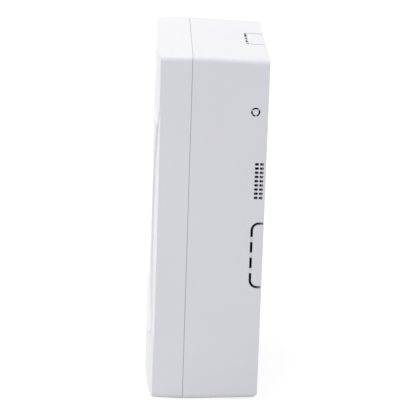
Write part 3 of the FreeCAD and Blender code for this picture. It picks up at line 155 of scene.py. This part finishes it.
housing_white = plastic("housing_white", colour=(0.82, 0.82, 0.855), drift=(0.835, 0.835, 0.865),
                        grain=2600, gloss=(0.36, 0.5), relief=0.00003)
for shell in ("front_cover", "rear_base"):
    finish_node(shell, housing_white)

# Cover screw: a zinc-plated steel screw that goes up into the rear base and closes the housing.
# Its head sits in a recess of the cover's lower edge.


def plated_metal_group():
    """Drawn and plated metal: clouds in tone and gloss, and faint streaks along Y."""
    group = start_group("plated_metal", ("Colour", "Dull Colour"), ("Smoothest", "Roughest"), surface_outputs)
    nodes, links = group.nodes, group.links
    inside = nodes.new("NodeGroupInput")
    out = nodes.new("NodeGroupOutput")
    place = nodes.new("ShaderNodeTexCoord")
    cloud = noise(nodes, links, place.outputs["Object"], scale=700, detail=3)
    tone = nodes.new("ShaderNodeMix")
    tone.data_type = "RGBA"
    links.new(cloud.outputs["Fac"], tone.inputs["Factor"])
    links.new(inside.outputs["Colour"], tone.inputs["A"])
    links.new(inside.outputs["Dull Colour"], tone.inputs["B"])
    links.new(tone.outputs["Result"], out.inputs["Colour"])
    along = nodes.new("ShaderNodeMapping")
    along.inputs["Scale"].default_value = (1, 0.08, 1)
    links.new(place.outputs["Object"], along.inputs["Vector"])
    streak = noise(nodes, links, along.outputs["Vector"], scale=5200, detail=1)
    links.new(streak.outputs["Fac"], out.inputs["Height"])
    gloss = stretched(nodes, links, cloud.outputs["Fac"], 0.3, 0.7)
    links.new(inside.outputs["Smoothest"], gloss.inputs["To Min"])
    links.new(inside.outputs["Roughest"], gloss.inputs["To Max"])
    links.new(gloss.outputs["Result"], out.inputs["Roughness"])
    return group


plated_metal = plated_metal_group()


def metal(name, colour, dull, gloss, relief):
    """Material of a plated metal part: its bright and dull tones, span of roughness, and relief in metres."""
    values = {"Colour": (*colour, 1), "Dull Colour": (*dull, 1), "Smoothest": gloss[0], "Roughest": gloss[1]}
    material = surfaced(name, plated_metal, values, relief, strength=0.5)
    material.node_tree.nodes["Principled BSDF"].inputs["Metallic"].default_value = 1
    return material


zinc = metal("zinc_plate", colour=(0.58, 0.59, 0.61), dull=(0.46, 0.48, 0.51),
             gloss=(0.22, 0.4), relief=0.00001)
finish_node("cover_screw", zinc)

# Main board: glass-fibre laminate under green solder mask, with copper tracks that show through as paler lines.
# It lies on four posts of the rear base, held by four small screws, and its bare edges show the laminate.


def maths(nodes, links, operation, *values):
    """Math node on up to three sockets or numbers."""
    node = nodes.new("ShaderNodeMath")
    node.operation = operation
    for k, value in enumerate(values):
        if isinstance(value, (int, float)):
            node.inputs[k].default_value = value
        else:
            links.new(value, node.inputs[k])
    return node.outputs["Value"]


def coordinates(nodes, links):
    """Sockets of a point's X, Y and Z on the object, in metres."""
    place = nodes.new("ShaderNodeTexCoord")
    apart = nodes.new("ShaderNodeSeparateXYZ")
    links.new(place.outputs["Object"], apart.inputs["Vector"])
    return apart.outputs


def rectangle_group():
    """How far a point lies outside a rectangle in X and Z, negative inside it."""
    group = start_group("rectangle", (), ("Centre X", "Centre Z", "Half Width", "Half Height"),
                        (("Outside", "Float"),))
    nodes, links = group.nodes, group.links
    inside = nodes.new("NodeGroupInput")
    out = nodes.new("NodeGroupOutput")
    place = coordinates(nodes, links)
    past = []
    for axis, centre, half in (("X", "Centre X", "Half Width"), ("Z", "Centre Z", "Half Height")):
        away = maths(nodes, links, "SUBTRACT", place[axis], inside.outputs[centre])
        away = maths(nodes, links, "ABSOLUTE", away)
        past.append(maths(nodes, links, "SUBTRACT", away, inside.outputs[half]))
    links.new(maths(nodes, links, "MAXIMUM", *past), out.inputs["Outside"])
    return group


rectangle = rectangle_group()


def outside(nodes, centre, half):
    """Socket that says how far a point lies outside a rectangle; centre and half size in metres."""
    node = nodes.new("ShaderNodeGroup")
    node.node_tree = rectangle
    node.inputs["Centre X"].default_value, node.inputs["Centre Z"].default_value = centre
    node.inputs["Half Width"].default_value, node.inputs["Half Height"].default_value = half
    return node.outputs["Outside"]


def middle_of(name):
    """Centre of a node in X and Z."""
    low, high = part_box(name)
    return (low[0] + high[0]) / 2, (low[2] + high[2]) / 2


def over(nodes, links, below, colour, mask):
    """Lays a colour over another where the mask is 1."""
    node = nodes.new("ShaderNodeMix")
    node.data_type = "RGBA"
    node.inputs["B"].default_value = (*colour, 1)
    links.new(below, node.inputs["A"])
    links.new(mask, node.inputs["Factor"])
    return node.outputs["Result"]


laminate = (0.42, 0.44, 0.2)
hole_tin = (0.5, 0.5, 0.46)
painted_bore_shade = (0.02, 0.02, 0.02)
print_white = (0.72, 0.73, 0.72)
track_pitch = 0.00095
track_share = 0.3
bundle_share = 0.6
frame_gap = 0.0008
frame_half_line = 0.0001
fields_per_metre = 105
holes_per_metre = 150
pad_share = 0.062
bore_shade_share = 0.03
flat = 0.5


def board_material(name, mask, track, framed):
    """Solder mask with tracks and plated holes whose bores are painted shade, white frames round parts, bare laminate
    on the sawn edges.
    """
    material = bpy.data.materials.new(name)
    material.use_nodes = True
    nodes, links = material.node_tree.nodes, material.node_tree.links
    shader = nodes["Principled BSDF"]
    place = nodes.new("ShaderNodeTexCoord")
    axes = coordinates(nodes, links)
    lay = nodes.new("ShaderNodeMapping")
    lay.inputs["Rotation"].default_value = (math.pi / 2, 0, 0)
    links.new(place.outputs["Object"], lay.inputs["Vector"])

    # Bundles of parallel tracks, upright in some fields of the board and level in others
    fields = nodes.new("ShaderNodeTexVoronoi")
    fields.voronoi_dimensions = "2D"
    fields.distance = "CHEBYCHEV"
    fields.inputs["Scale"].default_value = fields_per_metre
    links.new(lay.outputs["Vector"], fields.inputs["Vector"])
    pick = nodes.new("ShaderNodeSeparateColor")
    links.new(fields.outputs["Color"], pick.inputs["Color"])
    across = nodes.new("ShaderNodeMix")
    links.new(maths(nodes, links, "GREATER_THAN", pick.outputs["Red"], 0.5), across.inputs["Factor"])
    links.new(axes["Z"], across.inputs["A"])
    links.new(axes["X"], across.inputs["B"])
    turns = maths(nodes, links, "MULTIPLY", across.outputs["Result"], 1 / track_pitch)
    line = maths(nodes, links, "LESS_THAN", maths(nodes, links, "FRACT", turns), track_share)
    bundle = maths(nodes, links, "LESS_THAN", pick.outputs["Green"], bundle_share)
    tracks = maths(nodes, links, "MULTIPLY", line, bundle)

    # Plated holes, a ring of tin round a bore painted near black as painted shade, for no hole is cut; radii as
    # shares of a cell of the pattern
    holes = nodes.new("ShaderNodeTexVoronoi")
    holes.voronoi_dimensions = "2D"
    holes.inputs["Scale"].default_value = holes_per_metre
    links.new(lay.outputs["Vector"], holes.inputs["Vector"])
    pad = maths(nodes, links, "LESS_THAN", holes.outputs["Distance"], pad_share)
    bore_shade_mask = maths(nodes, links, "LESS_THAN", holes.outputs["Distance"], bore_shade_share)

    # Frames printed round the parts, on the front alone
    turn = nodes.new("ShaderNodeNewGeometry")
    facing = nodes.new("ShaderNodeSeparateXYZ")
    links.new(turn.outputs["True Normal"], facing.inputs["Vector"])
    front = maths(nodes, links, "LESS_THAN", facing.outputs["Y"], -flat)
    printed = 0
    for part in framed:
        low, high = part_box(part)
        half = ((high[0] - low[0]) / 2 + frame_gap, (high[2] - low[2]) / 2 + frame_gap)
        away = maths(nodes, links, "ABSOLUTE", outside(nodes, middle_of(part), half))
        line = maths(nodes, links, "LESS_THAN", away, frame_half_line)
        printed = maths(nodes, links, "MAXIMUM", printed, line)

    # All layers of the faces, then the laminate with its fibres on the edges
    base = nodes.new("ShaderNodeRGB")
    base.outputs["Color"].default_value = (*mask, 1)
    face = over(nodes, links, base.outputs["Color"], track, tracks)
    face = over(nodes, links, face, hole_tin, pad)
    # The bore is painted near black: painted shade where the hole would be dark inside.
    face = over(nodes, links, face, painted_bore_shade, bore_shade_mask)
    face = over(nodes, links, face, print_white, maths(nodes, links, "MULTIPLY", printed, front))
    edge = maths(nodes, links, "LESS_THAN", maths(nodes, links, "ABSOLUTE", facing.outputs["Y"]), flat)
    weave = noise(nodes, links, place.outputs["Object"], scale=3000, detail=2)
    fibre = nodes.new("ShaderNodeMix")
    fibre.data_type = "RGBA"
    fibre.inputs["A"].default_value = (*laminate, 1)
    fibre.inputs["B"].default_value = (*(0.72 * c for c in laminate), 1)
    links.new(weave.outputs["Fac"], fibre.inputs["Factor"])
    colour = nodes.new("ShaderNodeMix")
    colour.data_type = "RGBA"
    links.new(edge, colour.inputs["Factor"])
    links.new(face, colour.inputs["A"])
    links.new(fibre.outputs["Result"], colour.inputs["B"])
    links.new(colour.outputs["Result"], shader.inputs["Base Color"])
    gloss = nodes.new("ShaderNodeMapRange")
    gloss.inputs["To Min"].default_value = 0.28
    gloss.inputs["To Max"].default_value = 0.75
    links.new(edge, gloss.inputs["Value"])
    links.new(gloss.outputs["Result"], shader.inputs["Roughness"])
    bump = nodes.new("ShaderNodeBump")
    bump.inputs["Strength"].default_value = 0.6
    bump.inputs["Distance"].default_value = 0.00003
    links.new(tracks, bump.inputs["Height"])
    links.new(bump.outputs["Normal"], shader.inputs["Normal"])
    return material


framed = ("microcontroller", "memory_chip", "bus_driver_chip", "main_crystal", "power_inductor", "radio_board",
          "voltage_regulator", "address_display", "address_switch", "cover_tamper_switch", "service_socket",
          "status_leds", "bus_terminal", "output_terminal")
green_board = board_material("green_board", mask=(0.008, 0.09, 0.03), track=(0.02, 0.15, 0.055), framed=framed)
finish_node("main_board", green_board)
finish_node("board_screws", zinc)

# Screw terminals: green polyamide blocks soldered along the board's lower edge, one for the bus, one for the outputs.
# Each way has a tinned clamp in its pocket and a slotted screw above it.
terminal_green = plastic("terminal_green", colour=(0.02, 0.24, 0.085), drift=(0.03, 0.28, 0.1),
                         grain=1500, gloss=(0.3, 0.42), relief=0.00002)
tinned = metal("tinned", colour=(0.64, 0.64, 0.62), dull=(0.52, 0.52, 0.5),
               gloss=(0.28, 0.46), relief=0.00001)
for block in ("bus_terminal", "output_terminal"):
    finish_node(block, terminal_green)
    finish_node(block + "_clamps", tinned)
    finish_node(block + "_screws", zinc)

# Radio: a small blue board on a strip of gold-plated pins, with the transceiver chip under a tinplate can.
# The strip stands on the main board and carries the small board 2.5 mm off it.
blue_board = board_material("blue_board", mask=(0.006, 0.02, 0.11), track=(0.016, 0.045, 0.18),
                            framed=("radio_shield",))
black_plastic = plastic("black_plastic", colour=(0.018, 0.018, 0.02), drift=(0.026, 0.026, 0.028),
                        grain=2200, gloss=(0.38, 0.5), relief=0.00002)
gold = metal("gold_plate", colour=(0.83, 0.6, 0.26), dull=(0.72, 0.5, 0.2),
             gloss=(0.2, 0.32), relief=0.000005)
finish_node("radio_board", blue_board)
finish_node("radio_shield", tinned)
finish_node("radio_header", black_plastic)
finish_node("radio_header_pins", gold)

# Antennas: two quarter-wave wires of tinned copper, soldered into the board at each side and bent upright.
# They stand clear of the board so that the radio hears the zones on two separate wires.
tinned_copper = metal("tinned_copper", colour=(0.76, 0.72, 0.68), dull=(0.66, 0.58, 0.5),
                      gloss=(0.3, 0.48), relief=0.00001)
finish_node("antenna_left", tinned_copper)
finish_node("antenna_right", tinned_copper)

# Chips: black epoxy bodies with tinned legs that stand on the board, soldered to it.
# The controller is square with legs all round; the memory, the bus driver and the regulator have two rows or a tab.
tin = (0.62, 0.62, 0.6)
tin_gloss = 0.34
epoxy = (0.022, 0.022, 0.024)
dimple_sheen_tone = (0.11, 0.11, 0.115)
dimple_inset = 0.0008
dimple_radius = 0.0003


def disc(nodes, links, across, up, radius):
    """1 within a radius of the point where both coordinates are 0."""
    squares = [maths(nodes, links, "MULTIPLY", way, way) for way in (across, up)]
    return maths(nodes, links, "LESS_THAN", maths(nodes, links, "ADD", *squares), radius ** 2)


def legged_part(name, centre, half, painted_dimple_sheen):
    """Epoxy body with tinned legs; the body's centre and half size in X and Z, in metres.

    A chip has a small round dimple in the corner of its first leg, painted as a paler grey disc: a painted sheen,
    with no hollow cut.
    """
    material = plastic(name, colour=epoxy, drift=tuple(1.3 * c for c in epoxy),
                       grain=1900, gloss=(0.5, 0.62), relief=0.00002)
    nodes, links = material.node_tree.nodes, material.node_tree.links
    shader = nodes["Principled BSDF"]
    surface = nodes["surface"]
    legs = maths(nodes, links, "GREATER_THAN", outside(nodes, centre, half), 0)
    face = over(nodes, links, surface.outputs["Colour"], tin, legs)
    if painted_dimple_sheen:
        # The dimple is a paler disc on the epoxy, a painted sheen where the hollow would catch the light; it has no
        # depth.
        place = coordinates(nodes, links)
        across = maths(nodes, links, "SUBTRACT", place["X"], centre[0] - half[0] + dimple_inset)
        up = maths(nodes, links, "SUBTRACT", place["Z"], centre[1] - half[1] + dimple_inset)
        face = over(nodes, links, face, dimple_sheen_tone, disc(nodes, links, across, up, dimple_radius))
    links.new(face, shader.inputs["Base Color"])
    gloss = nodes.new("ShaderNodeMix")
    gloss.inputs["B"].default_value = tin_gloss
    links.new(legs, gloss.inputs["Factor"])
    links.new(surface.outputs["Roughness"], gloss.inputs["A"])
    links.new(gloss.outputs["Result"], shader.inputs["Roughness"])
    links.new(legs, shader.inputs["Metallic"])
    return material


for name, half in (("microcontroller", (0.005, 0.005)), ("memory_chip", (0.00245, 0.00195)),
                   ("bus_driver_chip", (0.00495, 0.00195)), ("radio_chip", (0.0022, 0.0022))):
    finish_node(name, legged_part(name + "_epoxy", middle_of(name), half, painted_dimple_sheen=True))
regulator_rise = 0.00045
x, z = middle_of("voltage_regulator")
regulator_epoxy = legged_part("regulator_epoxy", centre=(x, z + regulator_rise), half=(0.0033, 0.00305),
                              painted_dimple_sheen=False)
finish_node("voltage_regulator", regulator_epoxy)

# Crystal, capacitors and inductor: the larger passive parts of the supply and the clock.
# The crystal has a nickel-plated can, and the inductor is sintered ferrite. The capacitors have a dark sleeve, drawn
# over the edge of an aluminium can whose end is scored crosswise; the scores are only painted darker, as painted
# shade.
nickel = metal("nickel_plate", colour=(0.62, 0.6, 0.55), dull=(0.5, 0.48, 0.45),
               gloss=(0.24, 0.36), relief=0.00001)
finish_node("main_crystal", nickel)
capacitor = plastic("capacitor_sleeve", colour=(0.02, 0.024, 0.05), drift=(0.03, 0.034, 0.065),
                    grain=900, gloss=(0.28, 0.36), relief=0.00001)
sleeve_fold = 0.0004
score_shade_margin = 0.0008
score_shade_half_width = 0.00012
score_shade_tone = (0.16, 0.16, 0.17)
end_depth = 0.0002
nodes, links = capacitor.node_tree.nodes, capacitor.node_tree.links
shader = nodes["Principled BSDF"]
place = coordinates(nodes, links)
low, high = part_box("supply_capacitors")
x, z = middle_of("supply_capacitors")
can_radius = (high[2] - low[2]) / 2
spread = (high[0] - low[0]) / 2 - can_radius
across = maths(nodes, links, "SUBTRACT", place["X"], x + spread)
across = maths(nodes, links, "WRAP", across, spread, -spread)
up = maths(nodes, links, "SUBTRACT", place["Z"], z)
end = maths(nodes, links, "LESS_THAN", place["Y"], low[1] + end_depth)
bare = maths(nodes, links, "MULTIPLY", end, disc(nodes, links, across, up, can_radius - sleeve_fold))
near = maths(nodes, links, "MINIMUM", maths(nodes, links, "ABSOLUTE", across), maths(nodes, links, "ABSOLUTE", up))
# Crosswise lines on the can's end, painted darker: painted shade in scores that have no depth.
score_shade = maths(nodes, links, "LESS_THAN", near, score_shade_half_width)
score_shade = maths(nodes, links, "MULTIPLY", score_shade, disc(nodes, links, across, up, can_radius - score_shade_margin))
face = over(nodes, links, nodes["surface"].outputs["Colour"], tin, bare)
face = over(nodes, links, face, score_shade_tone, maths(nodes, links, "MULTIPLY", bare, score_shade))
links.new(face, shader.inputs["Base Color"])
links.new(bare, shader.inputs["Metallic"])
finish_node("supply_capacitors", capacitor)
ferrite = plastic("ferrite", colour=(0.05, 0.05, 0.052), drift=(0.075, 0.073, 0.072),
                  grain=5200, gloss=(0.62, 0.8), relief=0.00005)
finish_node("power_inductor", ferrite)

# Chip resistors and capacitors: ceramic blocks 2 mm long, tinned at both ends, soldered flat on the board.
# Their rows repeat at an even pitch, so the tinned ends follow from where a point lies in its row.
block_length = 0.002
bare_half_length = 0.00065


def end_capped(name, node, rows, body):
    """Material of rows of ceramic blocks with tinned ends, the ends found from the node's rows along Z."""
    low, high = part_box(node)
    pitch = (high[2] - low[2] - block_length) / (rows - 1)
    material = plastic(name, colour=body, drift=tuple(0.85 * c for c in body),
                       grain=2500, gloss=(0.4, 0.55), relief=0.00001)
    nodes, links = material.node_tree.nodes, material.node_tree.links
    shader = nodes["Principled BSDF"]
    along = maths(nodes, links, "SUBTRACT", coordinates(nodes, links)["Z"], low[2] + block_length / 2)
    away = maths(nodes, links, "ABSOLUTE", maths(nodes, links, "WRAP", along, pitch / 2, -pitch / 2))
    cap = maths(nodes, links, "GREATER_THAN", away, bare_half_length)
    links.new(over(nodes, links, nodes["surface"].outputs["Colour"], tin, cap), shader.inputs["Base Color"])
    links.new(cap, shader.inputs["Metallic"])
    return material


finish_node("chip_resistors", end_capped("resistor_ceramic", "chip_resistors", rows=2, body=(0.03, 0.03, 0.035)))
finish_node("chip_capacitors", end_capped("capacitor_ceramic", "chip_capacitors", rows=5, body=(0.46, 0.33, 0.2)))

# Address display: a two-digit block in grey plastic, its unlit segments let into the face as pale bars.
# Each digit is seven bars of clear resin with mitred ends.
display_grey = plastic("display_grey", colour=(0.055, 0.055, 0.06), drift=(0.065, 0.065, 0.07),
                       grain=1800, gloss=(0.34, 0.44), relief=0.00001)
finish_node("address_display", display_grey)
segment_resin = plastic("segment_resin", colour=(0.52, 0.5, 0.47), drift=(0.58, 0.56, 0.53),
                        grain=1600, gloss=(0.2, 0.3), relief=0.000005)
low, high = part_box("address_display")
face_y = low[1]
digit_tall = 0.0056
digit_wide = 0.0031
bar_thick = 0.00065
bar_deep = 0.0006
bar_gap = 0.00022
bar_mitre = bar_thick * 0.45
bar_edge = 0.00003
bar_proud = 0.00006
digit_from_middle = 0.0033
bars = []
for digit in (-1, 1):
    x_mid = (low[0] + high[0]) / 2 + digit * digit_from_middle
    z_mid = (low[2] + high[2]) / 2
    spots = [(0, k * digit_tall / 2, 0) for k in (-1, 0, 1)]
    spots += [(s * digit_wide / 2, k * digit_tall / 4, math.pi / 2) for s in (-1, 1) for k in (-1, 1)]
    for dx, dz, turn in spots:
        reach = digit_tall / 2 if turn else digit_wide
        bpy.ops.object.select_all(action="DESELECT")
        bpy.ops.mesh.primitive_cube_add(size=1)
        bar = bpy.context.object
        bar.scale = (reach - bar_gap, bar_deep, bar_thick)
        bpy.ops.object.transform_apply(location=False, rotation=False, scale=True)
        bpy.ops.object.mode_set(mode="EDIT")
        bpy.ops.mesh.select_mode(type="EDGE")
        bpy.ops.mesh.select_all(action="DESELECT")
        bpy.ops.object.mode_set(mode="OBJECT")
        for edge in bar.data.edges:
            start, stop = (bar.data.vertices[k].co.y for k in edge.vertices)
            edge.select = abs(start - stop) > bar_deep / 2
        bpy.ops.object.mode_set(mode="EDIT")
        bpy.ops.mesh.bevel(offset=bar_mitre, segments=1, affect="EDGES")
        bpy.ops.mesh.select_all(action="SELECT")
        bpy.ops.mesh.bevel(offset=bar_edge, segments=1, affect="EDGES")
        bpy.ops.object.mode_set(mode="OBJECT")
        bar.rotation_euler = (0, turn, 0)
        bar.location = (x_mid + dx, face_y + bar_deep / 2 - bar_proud, z_mid + dz)
        bpy.ops.object.transform_apply(location=True, rotation=True, scale=False)
        bars.append(bar)
bpy.ops.object.select_all(action="DESELECT")
for bar in bars:
    bar.select_set(True)
bpy.context.view_layer.objects.active = bars[0]
bpy.ops.object.join()
segments = bpy.context.object
segments.name = "display_segments"
segments.data.materials.append(segment_resin)
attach(segments, "housing")

# Push buttons and tamper switches: black plastic bodies with round actuators in grey plastic or white acetal.
# The address button is pressed by finger, the cover switch by a post of the cover, the wall switch by its plunger.
button_grey = plastic("button_grey", colour=(0.2, 0.2, 0.21), drift=(0.23, 0.23, 0.24),
                      grain=1800, gloss=(0.3, 0.4), relief=0.00001)
acetal = plastic("plunger_acetal", colour=(0.74, 0.73, 0.69), drift=(0.78, 0.77, 0.73),
                 grain=1500, gloss=(0.24, 0.34), relief=0.00001)
for switch in ("address_switch", "cover_tamper_switch", "wall_tamper_switch"):
    finish_node(switch, black_plastic)
finish_node("address_button", button_grey)
finish_node("cover_tamper_plunger", acetal)
finish_node("wall_tamper_plunger", acetal)

# Status lamps: three small round lamps in tinted resin, green, amber and red from left to right.
# They show the bus, the radio and a fault while the cover is off.
lamp = plastic("lamp_resin", colour=(0.1, 0.5, 0.12), drift=(0.12, 0.55, 0.14),
               grain=900, gloss=(0.08, 0.16), relief=0.000005)
nodes, links = lamp.node_tree.nodes, lamp.node_tree.links
shader = nodes["Principled BSDF"]
shader.inputs["Coat Weight"].default_value = 0.6
low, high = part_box("status_leds")
across = nodes.new("ShaderNodeMapRange")
across.inputs["From Min"].default_value = low[0]
across.inputs["From Max"].default_value = high[0]
links.new(coordinates(nodes, links)["X"], across.inputs["Value"])
row = nodes.new("ShaderNodeValToRGB")
green, amber = row.color_ramp.elements
row.color_ramp.interpolation = "CONSTANT"
green.color = (0.06, 0.42, 0.09, 1)
amber.position = 0.35
amber.color = (0.7, 0.34, 0.03, 1)
red = row.color_ramp.elements.new(0.65)
red.color = (0.6, 0.03, 0.02, 1)
links.new(across.outputs["Result"], row.inputs["Fac"])
links.new(row.outputs["Color"], shader.inputs["Base Color"])
finish_node("status_leds", lamp)

# Service socket: a shrouded four-pin socket for the installer's keypad, in black plastic with gold-plated pins.
# The pins stand in the shroud, and their joints show on the rear of the board.
finish_node("service_socket", black_plastic)
finish_node("service_pins", gold)

# Solder joints: bright tin cones on the rear of the board, one for each leg that comes through it.
# Each is a small cone, drawn up round the cut end of the leg.
solder = metal("solder_tin", colour=(0.78, 0.78, 0.77), dull=(0.6, 0.6, 0.6),
               gloss=(0.2, 0.42), relief=0.00002)
rear_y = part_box("main_board")[1][1]
foot_radius = 0.00095
tip_radius = 0.00038
joint_height = 0.0009
joint_rounding = 0.00012


def across_row(node, ways, inset):
    """X of each of a row of legs, evenly spread over a node's width."""
    low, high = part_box(node)
    start, stop = low[0] + inset, high[0] - inset
    return [start + (stop - start) * k / (ways - 1) for k in range(ways)]


terminal_inset = 0.00254
pin_half = 0.00032
display_inset = 0.0024
display_row = 0.004
lamp_pitch = 0.006
lamp_leg = 0.00127
can_offset = 0.005
can_leg = 0.00175
legs = []
for node, ways, inset in (("bus_terminal", 4, terminal_inset), ("output_terminal", 8, terminal_inset),
                          ("service_pins", 4, pin_half), ("radio_header_pins", 8, pin_half)):
    legs += [(x, middle_of(node)[1]) for x in across_row(node, ways, inset)]
x, z = middle_of("address_display")
legs += [(x, z + s * display_row) for x in across_row("address_display", 5, display_inset) for s in (-1, 1)]
x, z = middle_of("status_leds")
legs += [(x + k * lamp_pitch + s * lamp_leg, z) for k in (-1, 0, 1) for s in (-1, 1)]
x, z = middle_of("supply_capacitors")
legs += [(x + k * can_offset + s * can_leg, z) for k in (-1, 1) for s in (-1, 1)]
joints = []
for x, z in legs:
    bpy.ops.object.select_all(action="DESELECT")
    if not joints:
        bpy.ops.mesh.primitive_cone_add(vertices=20, radius1=foot_radius, radius2=tip_radius, depth=joint_height,
                                        rotation=(-math.pi / 2, 0, 0))
        joint = bpy.context.object
        bpy.ops.object.transform_apply(location=False, rotation=True, scale=False)
        bpy.ops.object.mode_set(mode="EDIT")
        bpy.ops.mesh.select_mode(type="EDGE")
        bpy.ops.mesh.select_all(action="SELECT")
        bpy.ops.mesh.bevel(offset=joint_rounding, segments=2, affect="EDGES")
        bpy.ops.object.mode_set(mode="OBJECT")
        joint.location = (x, rear_y + joint_height / 2, z)
        first = Vector((x, 0, z))
    else:
        joint = joints[0].copy()
        joint.data = joints[0].data.copy()
        bpy.context.collection.objects.link(joint)
        joint.select_set(True)
        bpy.context.view_layer.objects.active = joint
        joint.location = Vector((x, 0, z)) - first
    bpy.ops.object.transform_apply(location=True, rotation=False, scale=False)
    joints.append(joint)
bpy.ops.object.select_all(action="DESELECT")
for joint in joints:
    joint.select_set(True)
bpy.context.view_layer.objects.active = joints[0]
bpy.ops.object.join()
solder_joints = bpy.context.object
solder_joints.name = "solder_joints"
bpy.ops.object.shade_smooth_by_angle(angle=math.radians(40))
solder_joints.data.materials.append(solder)
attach(solder_joints, "housing")

# Floor: a plain white studio floor that the housing stands on, white to the camera and still shaded by the housing.
# What the camera sees of it glows a little, so the floor runs into the background without an edge.


def white_where_seen(nodes, links):
    """1 for what the camera sees, straight, reflected or through glass, and 0 for light that falls on things."""
    path = nodes.new("ShaderNodeLightPath")
    seen = maths(nodes, links, "MAXIMUM", path.outputs["Is Camera Ray"], path.outputs["Is Glossy Ray"])
    return maths(nodes, links, "MAXIMUM", seen, path.outputs["Is Transmission Ray"])


floor_glow = 0.84
bpy.ops.object.select_all(action="DESELECT")
bpy.ops.mesh.primitive_plane_add(size=6, location=(0, 0, cad_box[0][2]))
floor = bpy.context.object
floor.name = "floor"
paper = bpy.data.materials.new("studio_floor")
paper.use_nodes = True
nodes, links = paper.node_tree.nodes, paper.node_tree.links
nodes.remove(nodes["Principled BSDF"])
seen = white_where_seen(nodes, links)
shade = nodes.new("ShaderNodeMix")
shade.data_type = "RGBA"
shade.inputs["A"].default_value = (0.66, 0.66, 0.66, 1)
shade.inputs["B"].default_value = (0.27, 0.27, 0.27, 1)
links.new(seen, shade.inputs["Factor"])
matt = nodes.new("ShaderNodeBsdfDiffuse")
links.new(shade.outputs["Result"], matt.inputs["Color"])
glow = nodes.new("ShaderNodeEmission")
glow.inputs["Color"].default_value = (1, 1, 1, 1)
links.new(maths(nodes, links, "MULTIPLY", seen, floor_glow), glow.inputs["Strength"])
total = nodes.new("ShaderNodeAddShader")
links.new(matt.outputs["BSDF"], total.inputs[0])
links.new(glow.outputs["Emission"], total.inputs[1])
links.new(total.outputs["Shader"], nodes["Material Output"].inputs["Surface"])
floor.data.materials.append(paper)

# Light: a large soft lamp above, weaker ones before the front and the side that faces the camera, and an even room.
# The room is white to the camera and to reflections and dimmer as light, so that white plastic keeps its shading.


def soft_lamp(name, place, size, watts, colour):
    """Square soft box aimed at the middle of the housing."""
    data = bpy.data.lights.new(name, "AREA")
    data.shape = "SQUARE"
    data.size = size
    data.energy = watts
    data.color = colour
    lamp = bpy.data.objects.new(name, data)
    bpy.context.collection.objects.link(lamp)
    lamp.location = place
    lamp.rotation_euler = (Vector((0, -0.02, 0)) - Vector(place)).to_track_quat("-Z", "Y").to_euler()


soft_lamp("top_lamp", (0.05, -0.45, 1.35), size=0.9, watts=9.4, colour=(1, 1, 1))
soft_lamp("front_lamp", (-0.3, -1.3, 0.5), size=0.8, watts=4.2, colour=(1, 1, 1))
soft_lamp("side_lamp", (1.3, -0.35, 0.35), size=0.8, watts=2.7, colour=(0.87, 0.89, 1))
room = bpy.data.worlds.new("room")
bpy.context.scene.world = room
room.use_nodes = True
nodes, links = room.node_tree.nodes, room.node_tree.links
sky = nodes["Background"]
sky.inputs["Color"].default_value = (1, 1, 1, 1)
level = nodes.new("ShaderNodeMapRange")
level.inputs["To Min"].default_value = 0.56
level.inputs["To Max"].default_value = 1
links.new(white_where_seen(nodes, links), level.inputs["Value"])
links.new(level.outputs["Result"], sky.inputs["Strength"])

# Camera: a long lens almost square to the right-hand side, a little above it, as in the photograph.
# The picture's small lean is the camera's roll, so the housing itself stands straight on the floor.
lens = bpy.data.cameras.new("camera")
lens.lens = 176.6
lens.sensor_width = 36
place = (0.88273, -0.05003, 0.22292)
camera = bpy.data.objects.new("camera", lens)
bpy.context.collection.objects.link(camera)
right = Vector((0.0231, 0.99919, 0.03286))
up = Vector((-0.24842, -0.0261, 0.9683))
turn = Matrix((right, up, right.cross(up))).transposed().to_4x4()
camera.matrix_world = Matrix.Translation(place) @ turn
bpy.context.scene.camera = camera
bpy.context.scene.view_settings.view_transform = "Standard"
